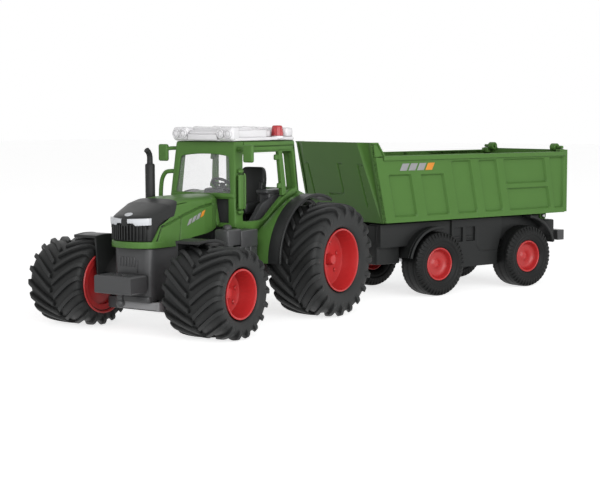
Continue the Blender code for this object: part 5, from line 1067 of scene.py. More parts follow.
def hood_section(y, s):
    """Section point of the hood at y: straight sides for the outer halves of s, a square crown between."""
    half, crown, low, roll = (along(y, table) for table in (HOOD_HALF, HOOD_CROWN, HOOD_SIDE, HOOD_ROLL))
    turn = np.clip(1.0 - np.abs(s) / 0.5, 0.0, 1.0) * math.pi / 2
    shoulder = crown - roll
    fall = np.clip(np.abs(s) / 0.5 - 1.0, 0.0, 1.0)
    x = np.sign(s) * half * np.clip(np.cos(turn), 0.0, 1.0) ** CROWN_POWER
    z = shoulder + roll * np.clip(np.sin(turn), 0.0, 1.0) ** CROWN_POWER - fall * (shoulder - low)
    return x, z


def leaned_up(surface):
    """The surface lifted along Z in proportion to its place along Y, like the hood's side line."""
    middle, slope = 34.0, 0.32
    points = surface[0].copy()
    points[:, 2] += (points[:, 1] - middle) * slope
    return points, surface[1]


def hood_lines(y, z):
    """Depth of the moulded lines on the hood's sides."""
    lines = groove(near_line(y, z, CREASE), 1.5, 1.4) + groove(near_line(y, z, SEAM), 1.2, 1.2)
    return lines + groove(near_line(y, z, HATCH), 1.2, 1.0)


def skin(x, y, z, thick):
    """Closed shell of a hood sheet: the sheet and a copy drawn in towards the hood's core."""
    outer = grid_of(x, y, z)
    core = grid_of(np.tanh(x / 9.0), np.zeros_like(x), np.clip((z - 78.0) / 18.0, 0, 1))
    return slab(outer, outer - thick * core)


def green_hood():
    """Green part of the hood: from the black nose's slanted edge back to the cab, with creased sides."""
    s = spread(np.linspace(-1.0, 1.0, 181), (-0.5, 0.5))[:, None]
    t = np.linspace(0.0, 1.0, 205)
    level = hood_section(np.full_like(s, 6.0), s)[1]
    front = along(level, BOUNDARY)
    y = front + t * (HOOD_REAR - front)
    x, z = hood_section(y, np.broadcast_to(s, y.shape))
    x = x - np.sign(x) * hood_lines(y, z) * (np.abs(s) > 0.4)
    return skin(x, y, z, 1.6)


def nose_outline(grow):
    """Plan of the nose: a front that bulges ahead in the middle and rounds into the sides."""
    side = [(0.0, NOSE_FRONT), (6.0, NOSE_FRONT + 0.6), (11.5, NOSE_FRONT + 2.1), (NOSE_HALF - 4.0, -18.7)]
    side += [(NOSE_HALF - 1.4, -17.0), (NOSE_HALF + 0.5, -14.0), (20.8, -8.0), (21.2, 12.0)]
    side = smooth_curve(side, 5)
    side = side + np.linspace((0.0, -grow), (grow, 0.0), len(side))
    return np.vstack([side, (side * (-1.0, 1.0))[::-1]])


def nose_front(x):
    """Place along Y of the nose's bulging front."""
    return NOSE_FRONT + NOSE_BULGE * (np.asarray(x) / NOSE_HALF) ** 2


def black_nose():
    """Barred nose: a core with a bulging front, thirteen upright bars and a bar between the lamps."""
    core = plate(nose_outline(-0.9), "Z", 70.9, 88.0, 0.5)
    places = [(x, nose_front(x)) for x in np.linspace(-16.4, 16.4, 13)]
    bars = [block((x - 0.7, y - 0.9, 71.6), (x + 0.7, y + 2.6, 83.4), 0.5, 2) for x, y in places]
    middle = block((-3.0, NOSE_FRONT - 0.8, 82.5), (3.0, NOSE_FRONT + 3.0, 88.0), 0.8)
    return joined(core, middle, *bars)


def black_top():
    """Black top panel: the hood's crown from its rear edge to a rounded brow that bulges over the lamps."""
    s = np.linspace(-0.59, 0.59, 81)[:, None]
    t = np.linspace(0.0, 1.0, 61)
    rear = np.interp(np.abs(s), (0.0, 0.3, 0.5, 0.59), (14.4, 14.4, 11.0, 8.6))
    v = NOSE_FRONT + t * (rear - NOSE_FRONT)
    x, z = hood_section(v, np.broadcast_to(s, v.shape))
    bulge = NOSE_BULGE * (x / NOSE_HALF) ** 2 * np.clip((5.0 - v) / 28.0, 0.0, 1.0)
    brow = 1.6 * np.clip((-20.5 - v) / 2.5, 0.0, 1.0) ** 2
    return skin(x * 1.012, v + bulge - 0.4, z + 0.35 - brow, 1.5)


def chin():
    """Green band under the nose that joins the hood's two sides."""
    return plate(nose_outline(0.5), "Z", HOOD_LOW, 70.7, 0.5)


def headlight():
    """Left lamp: a bent strip under the brow, deeper towards its outer end."""
    start, end = 3.1, 19.4
    x = spread(np.linspace(start, end, 34), (7.6, 9.8))
    low = np.interp(x, (start, 7.6, 9.6, end), (84.7, 84.7, 82.9, 83.4))
    high = np.interp(x, (start, end), (88.0, 88.6))
    t = np.linspace(0.0, 1.0, 12)[:, None]
    z = low + t * (high - low)
    share = np.clip((x - start) / 16.3, 0.02, 0.98)
    proud = 0.9 + 0.5 * np.sin(math.pi * t) ** 0.5 * np.sin(math.pi * share) ** 0.3
    return slab(grid_of(x, nose_front(x) - proud, z), grid_of(x, nose_front(x) + 1.5, z))


def oval_plate():
    """Plain oval plate on the brow of the black panel."""
    middle, lean = -18.6, 0.44
    turn = np.linspace(0, math.tau, 40, endpoint=False)
    outline = np.column_stack([3.6 * np.cos(turn), middle + 2.4 * np.sin(turn)])
    points, faces = plate(outline, "Z", 90.0, 91.3, 0.3)
    points[:, 2] += (points[:, 1] - middle) * lean
    return points, faces


class TOY_OT_hood(bpy.types.Operator):
    """Hood, black nose with its bars, plain oval and stripes, and headlights."""

    bl_idname = "toy.hood"
    bl_label = "Hood"

    def execute(self, context):
        put("hood_shell", joined(green_hood(), chin()), "hood", on_tractor)
        put("nose_shell", black_nose(), "grille", on_tractor)
        put("hood_panel", black_top(), "hood_top", on_tractor)
        put("hood_oval", oval_plate(), "hood_top", on_tractor, "lamp_plastic", "lamp_plastic", False)
        bars = [stripe(y, y + 4.0, 83.6, 87.4, 0.7, 22.2) for y in (24.0, 29.4, 34.8, 40.2)]
        for name, part in (("grey", bars[:-1]), ("orange", bars[-1:])):
            part = both_sides(leaned_up(joined(*part)))
            put(f"hood_{name}_stripes", part, "hood", on_tractor, f"pale_{name}", stands_for=False)
        put_pairs(("lamp", headlight(), "headlight"))
        return {"FINISHED"}


# Cab


CAB_HALF = 30.0
CAB_FRONT = 75.7
CAB_REAR = 159.1
CAB_TOP = 144.5
CAB_WALL = 2.8
REAR_AXLE = np.array([139.8, 47.0])
REAR_LEAN = -0.162
SILL_LOW = ((166.0, 102.0), (158.0, 98.5), (146.5, 94.5), (132.5, 85.0), (121.0, 77.0))
FLARE_FOOT = ((112.0, 72.5), (104.0, 70.2), (98.0, 64.5), (94.5, 56.0), (92.5, 47.0))
FLARE_X = 54.0
GUARD_ARC = (180.0, 64.0)
DOWN_TAPER, DOWN_RUN, DOWN_LIMIT = 3.0, 41.0, 1.35
REAR_TAPER, REAR_START, REAR_RUN = 4.5, 80.0, 60.0
FRONT_PULL = 1.43


def widened(surface):
    """Cab shape with its taper: sides drawn out towards floor and rear, and the front drawn ahead."""
    points = surface[0].copy()
    down = np.clip((CAB_TOP - points[:, 2]) / DOWN_RUN, 0.0, DOWN_LIMIT)
    back = np.clip((points[:, 1] - REAR_START) / REAR_RUN, 0.0, 1.0)
    grow = DOWN_TAPER * down + REAR_TAPER * back
    points[:, 1] -= FRONT_PULL * grow
    points[:, 0] += grow * np.clip(points[:, 0] / CAB_HALF, -1.0, 1.0)
    return points, surface[1]


def cab_side():
    """Left side frame: a rounded section carried round the door opening and its climbing sill."""
    outer = [(CAB_FRONT, 77.0), (CAB_FRONT, CAB_TOP), (CAB_REAR, CAB_TOP), *SILL_LOW, FLARE_FOOT[0],
             (81.7, 71.2)]
    inner = [(86.5, 80.5), (86.5, 135.0), (156.2, 135.2), (162.4, 104.9), (155.0, 103.2), (144.5, 99.0),
             (130.0, 89.5), (118.0, 81.2), (112.0, 80.0), (92.0, 80.2)]
    outline = fillet(outer, [3.0, 1.6, 1.6, 2.0, 3.0, 4.0, 4.0, 4.0, 3.0, 4.0])
    opening = fillet(inner, [2.0, 3.5, 2.5, 2.0, 3.0, 4.0, 4.0, 3.0, 2.0, 1.0])
    return frame_ring(outline, opening, "X", CAB_HALF, 3.4, 1.1)


def window_frame(low, high, sill, head, half, top_half, bow, outside, thick):
    """Front or rear frame round a window whose head is bowed upward."""
    outer = [(-CAB_HALF, low), (-CAB_HALF, high), (-12.0, high), (0.0, high), (12.0, high),
             (CAB_HALF, high), (CAB_HALF, low), (0.0, low)]
    inner = [(-half, sill), (-top_half, head), (-12.0, head + 0.75 * bow), (0.0, head + bow),
             (12.0, head + 0.75 * bow), (top_half, head), (half, sill), (0.0, sill)]
    outline = fillet(outer, 1.6)
    opening = fillet(inner, [2.2, 3.0, 6.0, 6.0, 6.0, 3.0, 2.2, 1.0])
    return frame_ring(outline, opening, "Y", outside, thick, 0.8)


def flare():
    """Left wheel arch: a sheet from the cab's sill to an arc over the rear wheel, in a hollow sweep."""
    inner = smooth_curve((*SILL_LOW, *FLARE_FOOT), 8)
    inner = np.column_stack([np.full(len(inner), CAB_HALF - 0.6), inner])
    inner = widened((inner, []))[0]
    outer = arc(REAR_AXLE, 53.5, *GUARD_ARC[::-1], len(inner))
    t = np.linspace(0.0, 1.0, 22)
    sweep = np.sin(t * math.pi / 2) ** 0.9
    x = inner[:, :1] + (FLARE_X - inner[:, :1]) * t
    y = inner[:, 1:2] + (outer[:, :1] - inner[:, 1:2]) * sweep
    z = inner[:, 2:] + (outer[:, 1:] - inner[:, 2:]) * sweep
    grid = grid_of(x, y, z)
    axle = np.array([0.0, *REAR_AXLE])
    toward = (axle - grid) * (0.0, 1.0, 1.0)
    return slab(grid, grid + 1.8 * toward / np.linalg.norm(toward, axis=-1, keepdims=True))


def cab():
    """Cab frame: sides, window frames, top, foot window posts, ribs, hinge lumps and flares."""
    front = window_frame(98.6, CAB_TOP, 103.0, 132.6, 25.4, 23.8, 2.0, CAB_FRONT, -2.0)
    rear = window_frame(99.0, CAB_TOP, 104.0, 134.2, 21.5, 21.0, 0.4, CAB_REAR, CAB_WALL)
    rear = leaned(rear, CAB_TOP, REAR_LEAN)
    back = block((-CAB_HALF, 163.0, 66.0), (CAB_HALF, 166.2, 100.5), 1.0)
    top = block((-29.6, 76.2, 141.0), (29.6, 158.6, CAB_TOP), 1.2)
    post = block((23.6, CAB_FRONT, 76.0), (CAB_HALF, 79.0, 100.0), 1.0)
    corner = block((25.6, CAB_FRONT - 0.1, 76.5), (CAB_HALF + 0.1, 80.5, CAB_TOP), 1.9, 5)
    ledge = block((9.0, 74.9, 99.6), (29.0, 78.0, 103.4), 0.9)
    rib = plate(((8.6, 102.0), (10.6, 102.0), (15.4, 77.5), (13.2, 77.5)), "Y", 73.6, 78.0, 0.5)
    foot = block((13.0, CAB_FRONT, 76.0), (CAB_HALF - 1.0, 79.0, 79.5), 0.8)
    upper_step = block((29.0, 87.0, 140.3), (31.0, 158.0, 144.0), 0.9)
    lower_step = block((29.0, 87.0, 136.6), (30.6, 156.6, 139.9), 0.7)
    knobs = [block((29.0, 78.6, z), (32.6, 84.4, z + 3.2), 1.2) for z in (86.6, 119.2, 136.0)]
    hinges = ((139.0, 130.6), (143.6, 107.0))
    lumps = [block((27.0, y - 6.0, z - 2.4), (29.6, y, z + 2.4), 1.2) for y, z in hinges]
    pillar = ((136.6, 136.0), (141.8, 136.0), (148.2, 100.5), (142.4, 99.0))
    pillar = plate(pillar, "X", 26.6, CAB_HALF, 0.9)
    steps = joined(upper_step, lower_step)
    sides = joined(cab_side(), pillar, post, corner, ledge, rib, foot, steps, *knobs, *lumps)
    return joined(widened(joined(front, rear, back, top, both_sides(sides))), both_sides(flare()))


def windshield():
    """Clear pane with a bowed head, set inside the front frame."""
    outline = [(-25.6, 102.8), (25.6, 102.8), (24.0, 132.8), (12.0, 134.3), (0.0, 134.8), (-12.0, 134.3),
               (-24.0, 132.8)]
    return widened(plate(fillet(outline, 2.0), "Y", 76.6, 77.6, 0.2))


def mudguard():
    """Left black mudguard: a shell over the rear tyre with a thick edge, and a liner behind the tyre."""
    shell = arch_band(REAR_AXLE, 53.4, 1.7, *GUARD_ARC, FLARE_X - 0.2, 65.6, 0.4, 61)
    edge = arch_band(REAR_AXLE, 54.0, 2.6, *GUARD_ARC, 64.4, 66.2, 0.9, 61)
    liner = arch_band(REAR_AXLE, 52.4, 1.6, 66.0, 48.0, 26.0, 46.0, 0.3, 17)
    return joined(shell, edge, liner)


class TOY_OT_cab(bpy.types.Operator):
    """Cab frame, windshield and rear mudguards."""

    bl_idname = "toy.cab"
    bl_label = "Cab"

    def execute(self, context):
        put("cab_shell", cab(), "cab", on_tractor)
        put("windshield_pane", windshield(), "windshield", on_tractor)
        put_pairs(("mudguard", mudguard(), "rear_fender"))
        return {"FINISHED"}


# Roof


ROOF_FRONT, ROOF_BACK = 71.0, 160.3
ROOF_HALF = 30.8
BEACON = (27.4, 138.6)


def roof_lamp(x, z):
    """Round lamp facing ahead: a bezel ring round a domed lens."""
    profile = [(0.0, 0.0), (0.0, 3.5), (2.2, 3.5), (2.6, 3.2), (2.6, 2.8), (2.0, 2.5), (2.6, 1.6),
               (2.9, 0.0)]
    points, faces = turned(profile, 28)
    return points[:, [1, 0, 2]] * (1.0, -1.0, 1.0) + (x, ROOF_FRONT + 1.6, z), faces


def roof_wave():
    """Raised top of the roof: a sheet whose height swells in two waves along each side."""
    half, front, back, wave = 26.0, 80.0, 130.0, 31.0
    x = np.linspace(-half, half, 40)
    y = np.linspace(front, back, 60)[:, None]
    side = (np.abs(x) / half) ** 4
    swell = 1.3 * np.cos((y - 98.0) * math.tau / wave) * (0.35 + 0.65 * side)
    ends = np.minimum(y - front, back - y)
    beside_beacon = (143.0 - y - x) / 1.4
    rim = np.minimum(np.minimum(np.minimum(half - np.abs(x), ends), beside_beacon) / 2.0, 1.0)
    grid = grid_of(x, y, 152.2 + (3.4 + swell) * np.sqrt(np.clip(rim, 0.0, 1.0)))
    return slab(grid, grid * (1, 1, 0) + (0, 0, 148.0))


def roof():
    """Clear roof moulding: skirt, body, lamp pods at the front corners, visor, waved top and rear block."""
    rim = fillet(((-ROOF_HALF, ROOF_FRONT + 2.5), (ROOF_HALF, ROOF_FRONT + 2.5), (ROOF_HALF, ROOF_BACK),
                  (-ROOF_HALF, ROOF_BACK)), 5.0)
    base = plate(rim, "Z", 144.8, 147.4, 0.6)
    inner = ((-29.4, 75.5), (29.4, 75.5), (29.4, 121.0), (24.0, 123.0), (15.0, 131.6), (15.0, 150.5),
             (-29.4, 150.5))
    body = plate(fillet(inner, 2.0), "Z", 146.8, 153.4, 1.2)
    hump = block((-26.0, 129.0, 151.0), (13.8, 150.0, 155.6), 1.6)
    visor = block((-15.0, ROOF_FRONT, 145.4), (15.0, 79.0, 150.2), 1.0)
    brow = block((-15.0, ROOF_FRONT + 2.0, 149.6), (15.0, 82.0, 152.4), 0.9)
    pod = block((15.4, ROOF_FRONT + 0.6, 145.2), (30.8, 82.0, 156.0), 2.4, 5)
    rear = block((-28.8, 149.6, 146.8), (28.8, ROOF_BACK - 0.6, 155.0), 1.8)
    stand = upright([(146.0, 0.0), (146.0, 5.0), (148.0, 4.9), (148.3, 4.4), (148.3, 0.0)], BEACON)
    pods = both_sides(joined(pod, roof_lamp(19.2, 150.6), roof_lamp(26.6, 150.6)))
    return widened(joined(base, body, hump, visor, brow, rear, roof_wave(), stand, pods))


def beacon():
    """Ribbed red lens that tapers to a rounded top."""
    turn = np.linspace(0, math.tau, 72, endpoint=False)[:, None]
    height = np.array([148.3, 148.3, 149.0, 153.5, 155.8, 156.8, 157.0])
    radius = np.array([0.0, 4.7, 4.7, 4.2, 3.9, 3.2, 0.0])
    out = radius * (1.0 + 0.03 * np.cos(12 * turn) * (radius > 3.2))
    grid = grid_of(BEACON[0] + out * np.cos(turn), BEACON[1] + out * np.sin(turn), height)
    return widened(sheet(grid, wrap_u=True))


class TOY_OT_roof(bpy.types.Operator):
    """Clear roof with lamps, and the beacon."""

    bl_idname = "toy.roof"
    bl_label = "Roof"

    def execute(self, context):
        put("roof_shell", roof(), "roof", on_tractor)
        put("beacon_lens", beacon(), "beacon", on_tractor)
        return {"FINISHED"}


# Cab fittings


SEAT_FOOT = 83.0
SEAT_LEAN = 0.21
STEERING_HUB = (0.0, 98.4, 108.6)
STEERING_LEAN = (0.55, 0.83)
EXHAUST_PLACE = (-24.6, 35.6)


def seat():
    """Seat: pedestal, cushion with bolsters, and a leaning back with a rounded top and side wings."""
    pedestal = block((-6.0, 122.0, 73.8), (6.0, 138.0, 84.0), 0.8)
    cushion = block((-13.6, 112.0, 83.0), (13.6, 139.0, 90.6), 2.4)
    bolster = block((10.4, 112.6, 84.0), (13.7, 136.0, 92.8), 1.5)
    outline = ((-13.7, 86.0), (13.7, 86.0), (13.7, 112.0), (10.6, 121.6), (-10.6, 121.6), (-13.7, 112.0))
    outline = fillet(outline, (1.0, 1.0, 5.0, 4.0, 4.0, 5.0))
    back = leaned(plate(outline, "Y", 131.4, 137.0, 1.6), SEAT_FOOT, SEAT_LEAN)
    wing = leaned(block((10.2, 129.6, 90.0), (13.8, 134.0, 110.0), 1.4), SEAT_FOOT, SEAT_LEAN)
    return joined(pedestal, cushion, back, both_sides(joined(bolster, wing)))


def interior():
    """Tub: floor, fire wall, inner wheel arches, dash with a hooded top, side console and arm rest."""
    floor = block((-26.8, 78.9, 64.4), (26.8, 156.8, 73.5), 0.6)
    wall = block((-26.8, 78.9, 73.0), (26.8, 80.8, 100.4), 0.5)
    arch = ((98.0, 73.0), (116.0, 92.0), (134.0, 99.0), (156.6, 99.0), (156.6, 73.0))
    arch = plate(arch, "X", 22.4, 26.8, 0.8)
    dash = fillet(((79.0, 73.0), (79.0, 101.0), (86.0, 103.4), (91.0, 98.5), (87.0, 73.0)), 1.4)
    dash = plate(dash, "X", -11.0, 11.0, 1.2)
    hood = fillet(((80.0, 100.0), (82.0, 106.0), (90.0, 106.6), (91.5, 99.0)), 1.6)
    hood = plate(hood, "X", -7.0, 7.0, 1.4)
    console = block((15.6, 128.0, 73.0), (26.0, 152.0, 100.8), 1.2)
    rest = block((15.0, 124.0, 100.0), (26.6, 150.0, 103.4), 1.2)
    bar = tube([(16.4, 80.4, 74.0), (16.4, 80.4, 98.0)], 1.0)
    return joined(floor, wall, dash, hood, console, rest, both_sides(joined(arch, bar)))


def steering_wheel():
    """Wheel: a ring, three spokes and a hub on a leaning column."""
    turn = np.linspace(0, math.tau, 16, endpoint=False)
    ring = turned(np.column_stack([1.2 * np.sin(turn), 9.0 + 1.2 * np.cos(turn)]), 48)
    hub = turned([(-1.6, 0.0), (-1.6, 2.4), (0.4, 2.2), (0.9, 1.6), (1.0, 0.0)], 24)
    spokes = ring_of(block((-0.6, -4.0, -0.9), (0.5, 4.6, 0.9), 0.4), 3, 4.0, math.pi / 2)
    column = tube([(-25.5, 0.0, 0.0), (0.0, 0.0, 0.0)], 1.8, 20)
    points, faces = joined(ring, hub, spokes, column)
    lean = np.array([0.0, *STEERING_LEAN]) / math.hypot(*STEERING_LEAN)
    side = np.array([1.0, 0.0, 0.0])
    return points @ np.array([lean, side, np.cross(lean, side)]) + STEERING_HUB, faces


def mirror():
    """Left mirror: a rounded housing with a raised rim on an arm from the front pillar."""
    housing = block((38.7, 73.7, 127.9), (48.5, 77.0, 141.9), 1.6, 5)
    rim = block((39.6, 76.2, 128.8), (47.6, 77.6, 141.0), 0.6)
    path = [(30.2, 78.8, 138.5), (34.0, 78.4, 138.6), (37.0, 77.0, 138.5), (40.0, 75.6, 138.0)]
    return joined(housing, rim, tube(smooth_curve(path, 5), 1.6))


def grab_rail():
    """Left grab rail: a flat rounded bar on two feet, and a thinner tapered one behind it."""
    bar = block((31.6, 76.6, 90.6), (34.2, 82.4, 118.0), 1.1, 5)
    thin = tube([(32.0, 85.4, z) for z in (90.5, 93.0, 97.0, 116.0, 119.0)], [0.7, 1.2, 1.5, 1.5, 0.8], 16)
    feet = joined(*(tube([(30.2, 79.8, z), (32.4, 79.8, z)], 1.6) for z in (94.0, 114.5)))
    return widened(joined(bar, thin, feet))


def bent_rail():
    """Right grab rail: a tube that leaves the front pillar, runs down beside it and returns to its foot."""
    path = [(-29.5, 76.0, 119.8), (-35.0, 74.6, 119.7), (-40.4, 74.0, 118.6), (-44.2, 74.0, 113.4),
            (-45.6, 74.0, 106.0), (-46.0, 74.0, 98.0), (-45.0, 74.2, 91.0), (-40.0, 75.0, 87.4),
            (-31.0, 76.0, 86.6)]
    return tube(smooth_curve(path, 6), 1.8, 14)


def exhaust():
    """Exhaust: a flanged foot, a silencer with stepped ends and a narrower pipe bent forward at its tip."""
    heights = [82.4, 84.4, 84.5, 95.6, 95.7, 97.0, 97.1, 126.2, 127.2, 127.3, 132.4, 134.6, 136.6, 138.2]
    radii = [4.2, 4.2, 2.6, 2.6, 3.2, 3.2, 3.9, 3.9, 3.3, 2.4, 2.3, 2.3, 2.3, 2.3]
    ahead = np.interp(heights, heights[-4:], [0.0, 0.5, 1.8, 3.8])
    x, y = EXHAUST_PLACE
    return tube(np.column_stack([np.full(len(heights), x), y - ahead, heights]), radii, 28)


class TOY_OT_fittings(bpy.types.Operator):
    """Seat, tub, steering wheel, mirrors, grab rails and exhaust."""

    bl_idname = "toy.fittings"
    bl_label = "Cab Fittings"

    def execute(self, context):
        put("seat_shell", seat(), "seat", on_tractor)
        put("tub", interior(), "interior", on_tractor, "grey_plastic")
        put("wheel_ring", steering_wheel(), "steering_wheel", on_tractor)
        put("exhaust_pipe", exhaust(), "exhaust", on_tractor, "frame_plastic")
        put_pairs(("mirror", mirror(), "mirror"))
        put("left_rail", grab_rail(), "grab_rail_left", on_tractor)
        put("right_rail", bent_rail(), "grab_rail_right", on_tractor)
        return {"FINISHED"}


# Front end and chassis


HITCH = (0.0, 200.8)
GUARD_BEND = ((-12.0, 72.2), (-6.0, 72.9), (0.0, 73.2), (10.0, 72.6), (18.0, 70.0), (22.0, 67.5))


def chassis():
    """Front block with round corners, slots and a seam, the spine, the gear housing and the tongue."""
    plan = fillet(((-18.7, 34.0), (-18.7, -16.2), (18.7, -16.2), (18.7, 34.0)), (2.0, 6.5, 6.5, 2.0), 8)
    front = plate(plan, "Z", 25.6, 65.3, 0.6)
    plan = fillet(((-17.8, -8.0), (-17.8, -17.0), (17.8, -17.0), (17.8, -8.0)), (1.0, 6.0, 6.0, 1.0), 8)
    apron = plate(plan, "Z", 24.0, 29.0, 0.8)
    slots = [block((x - 0.7, -16.7, 51.0), (x + 0.7, -15.0, 58.6), 0.4) for x in np.linspace(-11.5, 3.0, 6)]
    seam = block((5.6, -16.9, 47.0), (6.4, -15.0, 56.0), 0.4)
    spine = block((-13.0, 30.0, 34.0), (13.0, 100.0, 60.0), 1.2)
    lid = block((-24.0, 96.0, 61.0), (24.0, 166.0, 64.0), 1.0)
    ends = [block((-24.0, y, 32.0), (24.0, y + 6.0, 63.0), 1.0) for y in (96.0, 160.0)]
    turn = np.linspace(0, math.tau, 32, endpoint=False) + math.pi / 32
    way = np.column_stack([np.cos(turn), np.sin(turn)])
    reach = np.minimum(np.where(way[:, 0] > 0, 25.2, 42.8) / np.abs(way[:, 0]),
                       np.where(way[:, 1] > 0, 16.4, 15.0) / np.abs(way[:, 1]))[:, None]
    wall = frame_ring(REAR_AXLE + way * reach, REAR_AXLE + way * 3.4, "X", 24.0, 3.0, 0.4)
    tongue = [(-7.0, 164.0), (7.0, 164.0), *arc(HITCH, 7.0, 0.0, 180.0, 17)]
    hole = arc(HITCH, 2.4, 0.0, 360.0, 33)[:-1]
    tongue = frame_ring(resampled(tongue, 32), hole[::-1], "Z", 41.0, 4.0, 0.4)
    return joined(front, apron, seam, *slots, spine, lid, *ends, both_sides(wall), tongue)


def weight():
    """Ballast block with rounded edges, two slots in its top, a neck to the chassis and a ball pin below."""
    half, front, rear, edge, round_by = 18.2, -38.0, -20.0, 0.4, 1.2
    slots = ((-7.0, 7.0, -32.6, -29.4, 1.6), (-2.0, 2.0, -29.8, -24.0, 1.6))
    x = spread(np.linspace(-half, half, 40), panel_lines(slots, edge, 0))
    y = spread(np.linspace(front, rear, 24), panel_lines(slots, edge, 2))[:, None]
    depth = np.maximum(*(sunk(x, y, [slot], edge) for slot in slots))
    inside = np.minimum(half - np.abs(x), np.minimum(y - front, rear - y))
    short = 1.0 - np.clip(inside / round_by, 0.0, 1.0)
    round_off = round_by * (1.0 - np.sqrt(np.clip(1.0 - short**2, 0.0, 1.0)))
    ballast = slab(grid_of(x, y, 46.0 - depth - round_off), grid_of(x, y, 32.5 + round_off))
    neck = block((-9.0, -22.0, 34.0), (9.0, -16.4, 44.0), 0.8)
    lip = block((-18.3, -38.2, 32.4), (18.3, -36.4, 34.4), 0.6)
    pin = [(21.1, 0.0), (21.6, 1.9), (23.0, 3.1), (24.5, 3.4), (26.2, 3.0), (27.4, 2.2), (33.0, 2.2),
           (33.0, 0.0)]
    return joined(ballast, neck, lip, upright(pin, (0.0, -29.0)))


def side_tank():
    """Left tank: a rounded box with upright ribs and bands, a stepped upper part and a filler cap."""
    low = block((13.3, 50.0, 39.0), (45.0, 86.0, 66.2), 2.4)
    high = block((31.2, 46.0, 61.0), (45.0, 64.0, 76.4), 1.6)
    ribs = [block((43.6, y, 42.5), (46.0, y + 3.0, 62.6), 0.8) for y in (54.0, 60.6, 67.2, 73.8)]
    step = block((31.2, 62.0, 61.0), (46.2, 84.0, 74.8), 1.0)
    cap = [(75.8, 0.0), (75.8, 3.6), (78.4, 3.5), (79.4, 2.8), (80.0, 1.2), (80.0, 0.0)]
    cap = upright(cap, (38.2, 54.0))
    bands = [block((13.6, 49.4, z), (45.4, 84.4, z + 1.6), 0.6) for z in (43.0, 59.0)]
    return joined(low, high, step, cap, *ribs, *bands)


def front_fender():
    """Left front mudguard: a thin bent plate with a folded outer edge and a front lip, on an inner plate."""
    bend = smooth_curve(GUARD_BEND, 6)
    shell = plate(np.vstack([bend, bend[::-1] - (0.0, 1.2)]), "X", 40.2, 62.2, 0.4)
    fold = plate(np.vstack([bend + (0.0, 0.3), bend[::-1] - (0.0, 2.0)]), "X", 61.2, 62.8, 0.6)
    stay = plate(np.vstack([bend - (0.0, 0.4), [(11.0, 37.8), (-10.0, 37.8)]]), "X", 40.0, 41.8, 0.5)
    lip = block((40.2, -12.6, 70.2), (62.8, -11.4, 72.6), 0.5)
    return joined(shell, fold, stay, lip)


class TOY_OT_front_end(bpy.types.Operator):
    """Chassis with its front beam, ballast weight, side tanks and front mudguards."""

    bl_idname = "toy.front_end"
    bl_label = "Front End"

    def execute(self, context):
        put("chassis_shell", chassis(), "chassis", on_tractor)
        beam = block((-14.5, -14.0, 18.6), (25.0, -9.0, 24.6), 0.7)
        cap = block((22.6, -14.6, 17.8), (25.6, -8.6, 25.2), 0.6)
        put("front_beam", joined(beam, cap), "chassis", on_tractor, "pale_grey", stands_for=False)
        put("weight_shell", weight(), "front_weight", on_tractor)
        put_pairs(("tank", side_tank(), "side_tank"), ("front_guard", front_fender(), "front_fender"))
        return {"FINISHED"}


# Small moulded pieces


SMALL_PIECES = ("belly_cover", "front_axle", "knuckle_left", "knuckle_right", "tie_rod", "hitch_pin",
                "motor", "motor_pinion", "drive_gear", "rear_axle", "drawbar", "rear_bumper",
                "tip_hinge_rod", "trailer_axle_front", "trailer_axle_rear")


class TOY_OT_softened(bpy.types.Operator):
    """Small moulded and steel pieces: copies of their nodes with rounded edges."""

    bl_idname = "toy.softened"
    bl_label = "Small Pieces"

    def execute(self, context):
        for node in SMALL_PIECES:
            softened(node)
        return {"FINISHED"}


# Stage


LAMPS = (("key", (1.35, -0.85, 0.5), (2.2, 1.2), 25.0), ("fill", (0.1, -1.5, 0.25), (1.4, 0.4), 2.5),
         ("top", (0.3, -0.2, 1.8), (0.8, 0.8), 0.8))
SKY_TONES = (0.57, 0.12)
SENSOR_WIDTH = 36.0
FLOOR_HALF = 6.0
FLOOR_LEVEL = -0.0002
FLOOR_TONES = (0.80, 0.84)
FLOOR_GLOW = 0.72


def area_lamp(name, place, size, energy, aim):
    """Rectangular lamp at a place, turned to face a point."""
    lamp = bpy.data.lights.new(name, "AREA")
    lamp.shape = "RECTANGLE"
    lamp.size, lamp.size_y = size
    lamp.energy = energy
    obj = bpy.data.objects.new(name, lamp)
    obj.location = place
    obj.rotation_euler = (Vector(aim) - Vector(place)).to_track_quat("-Z", "Y").to_euler()
    bpy.context.scene.collection.objects.link(obj)


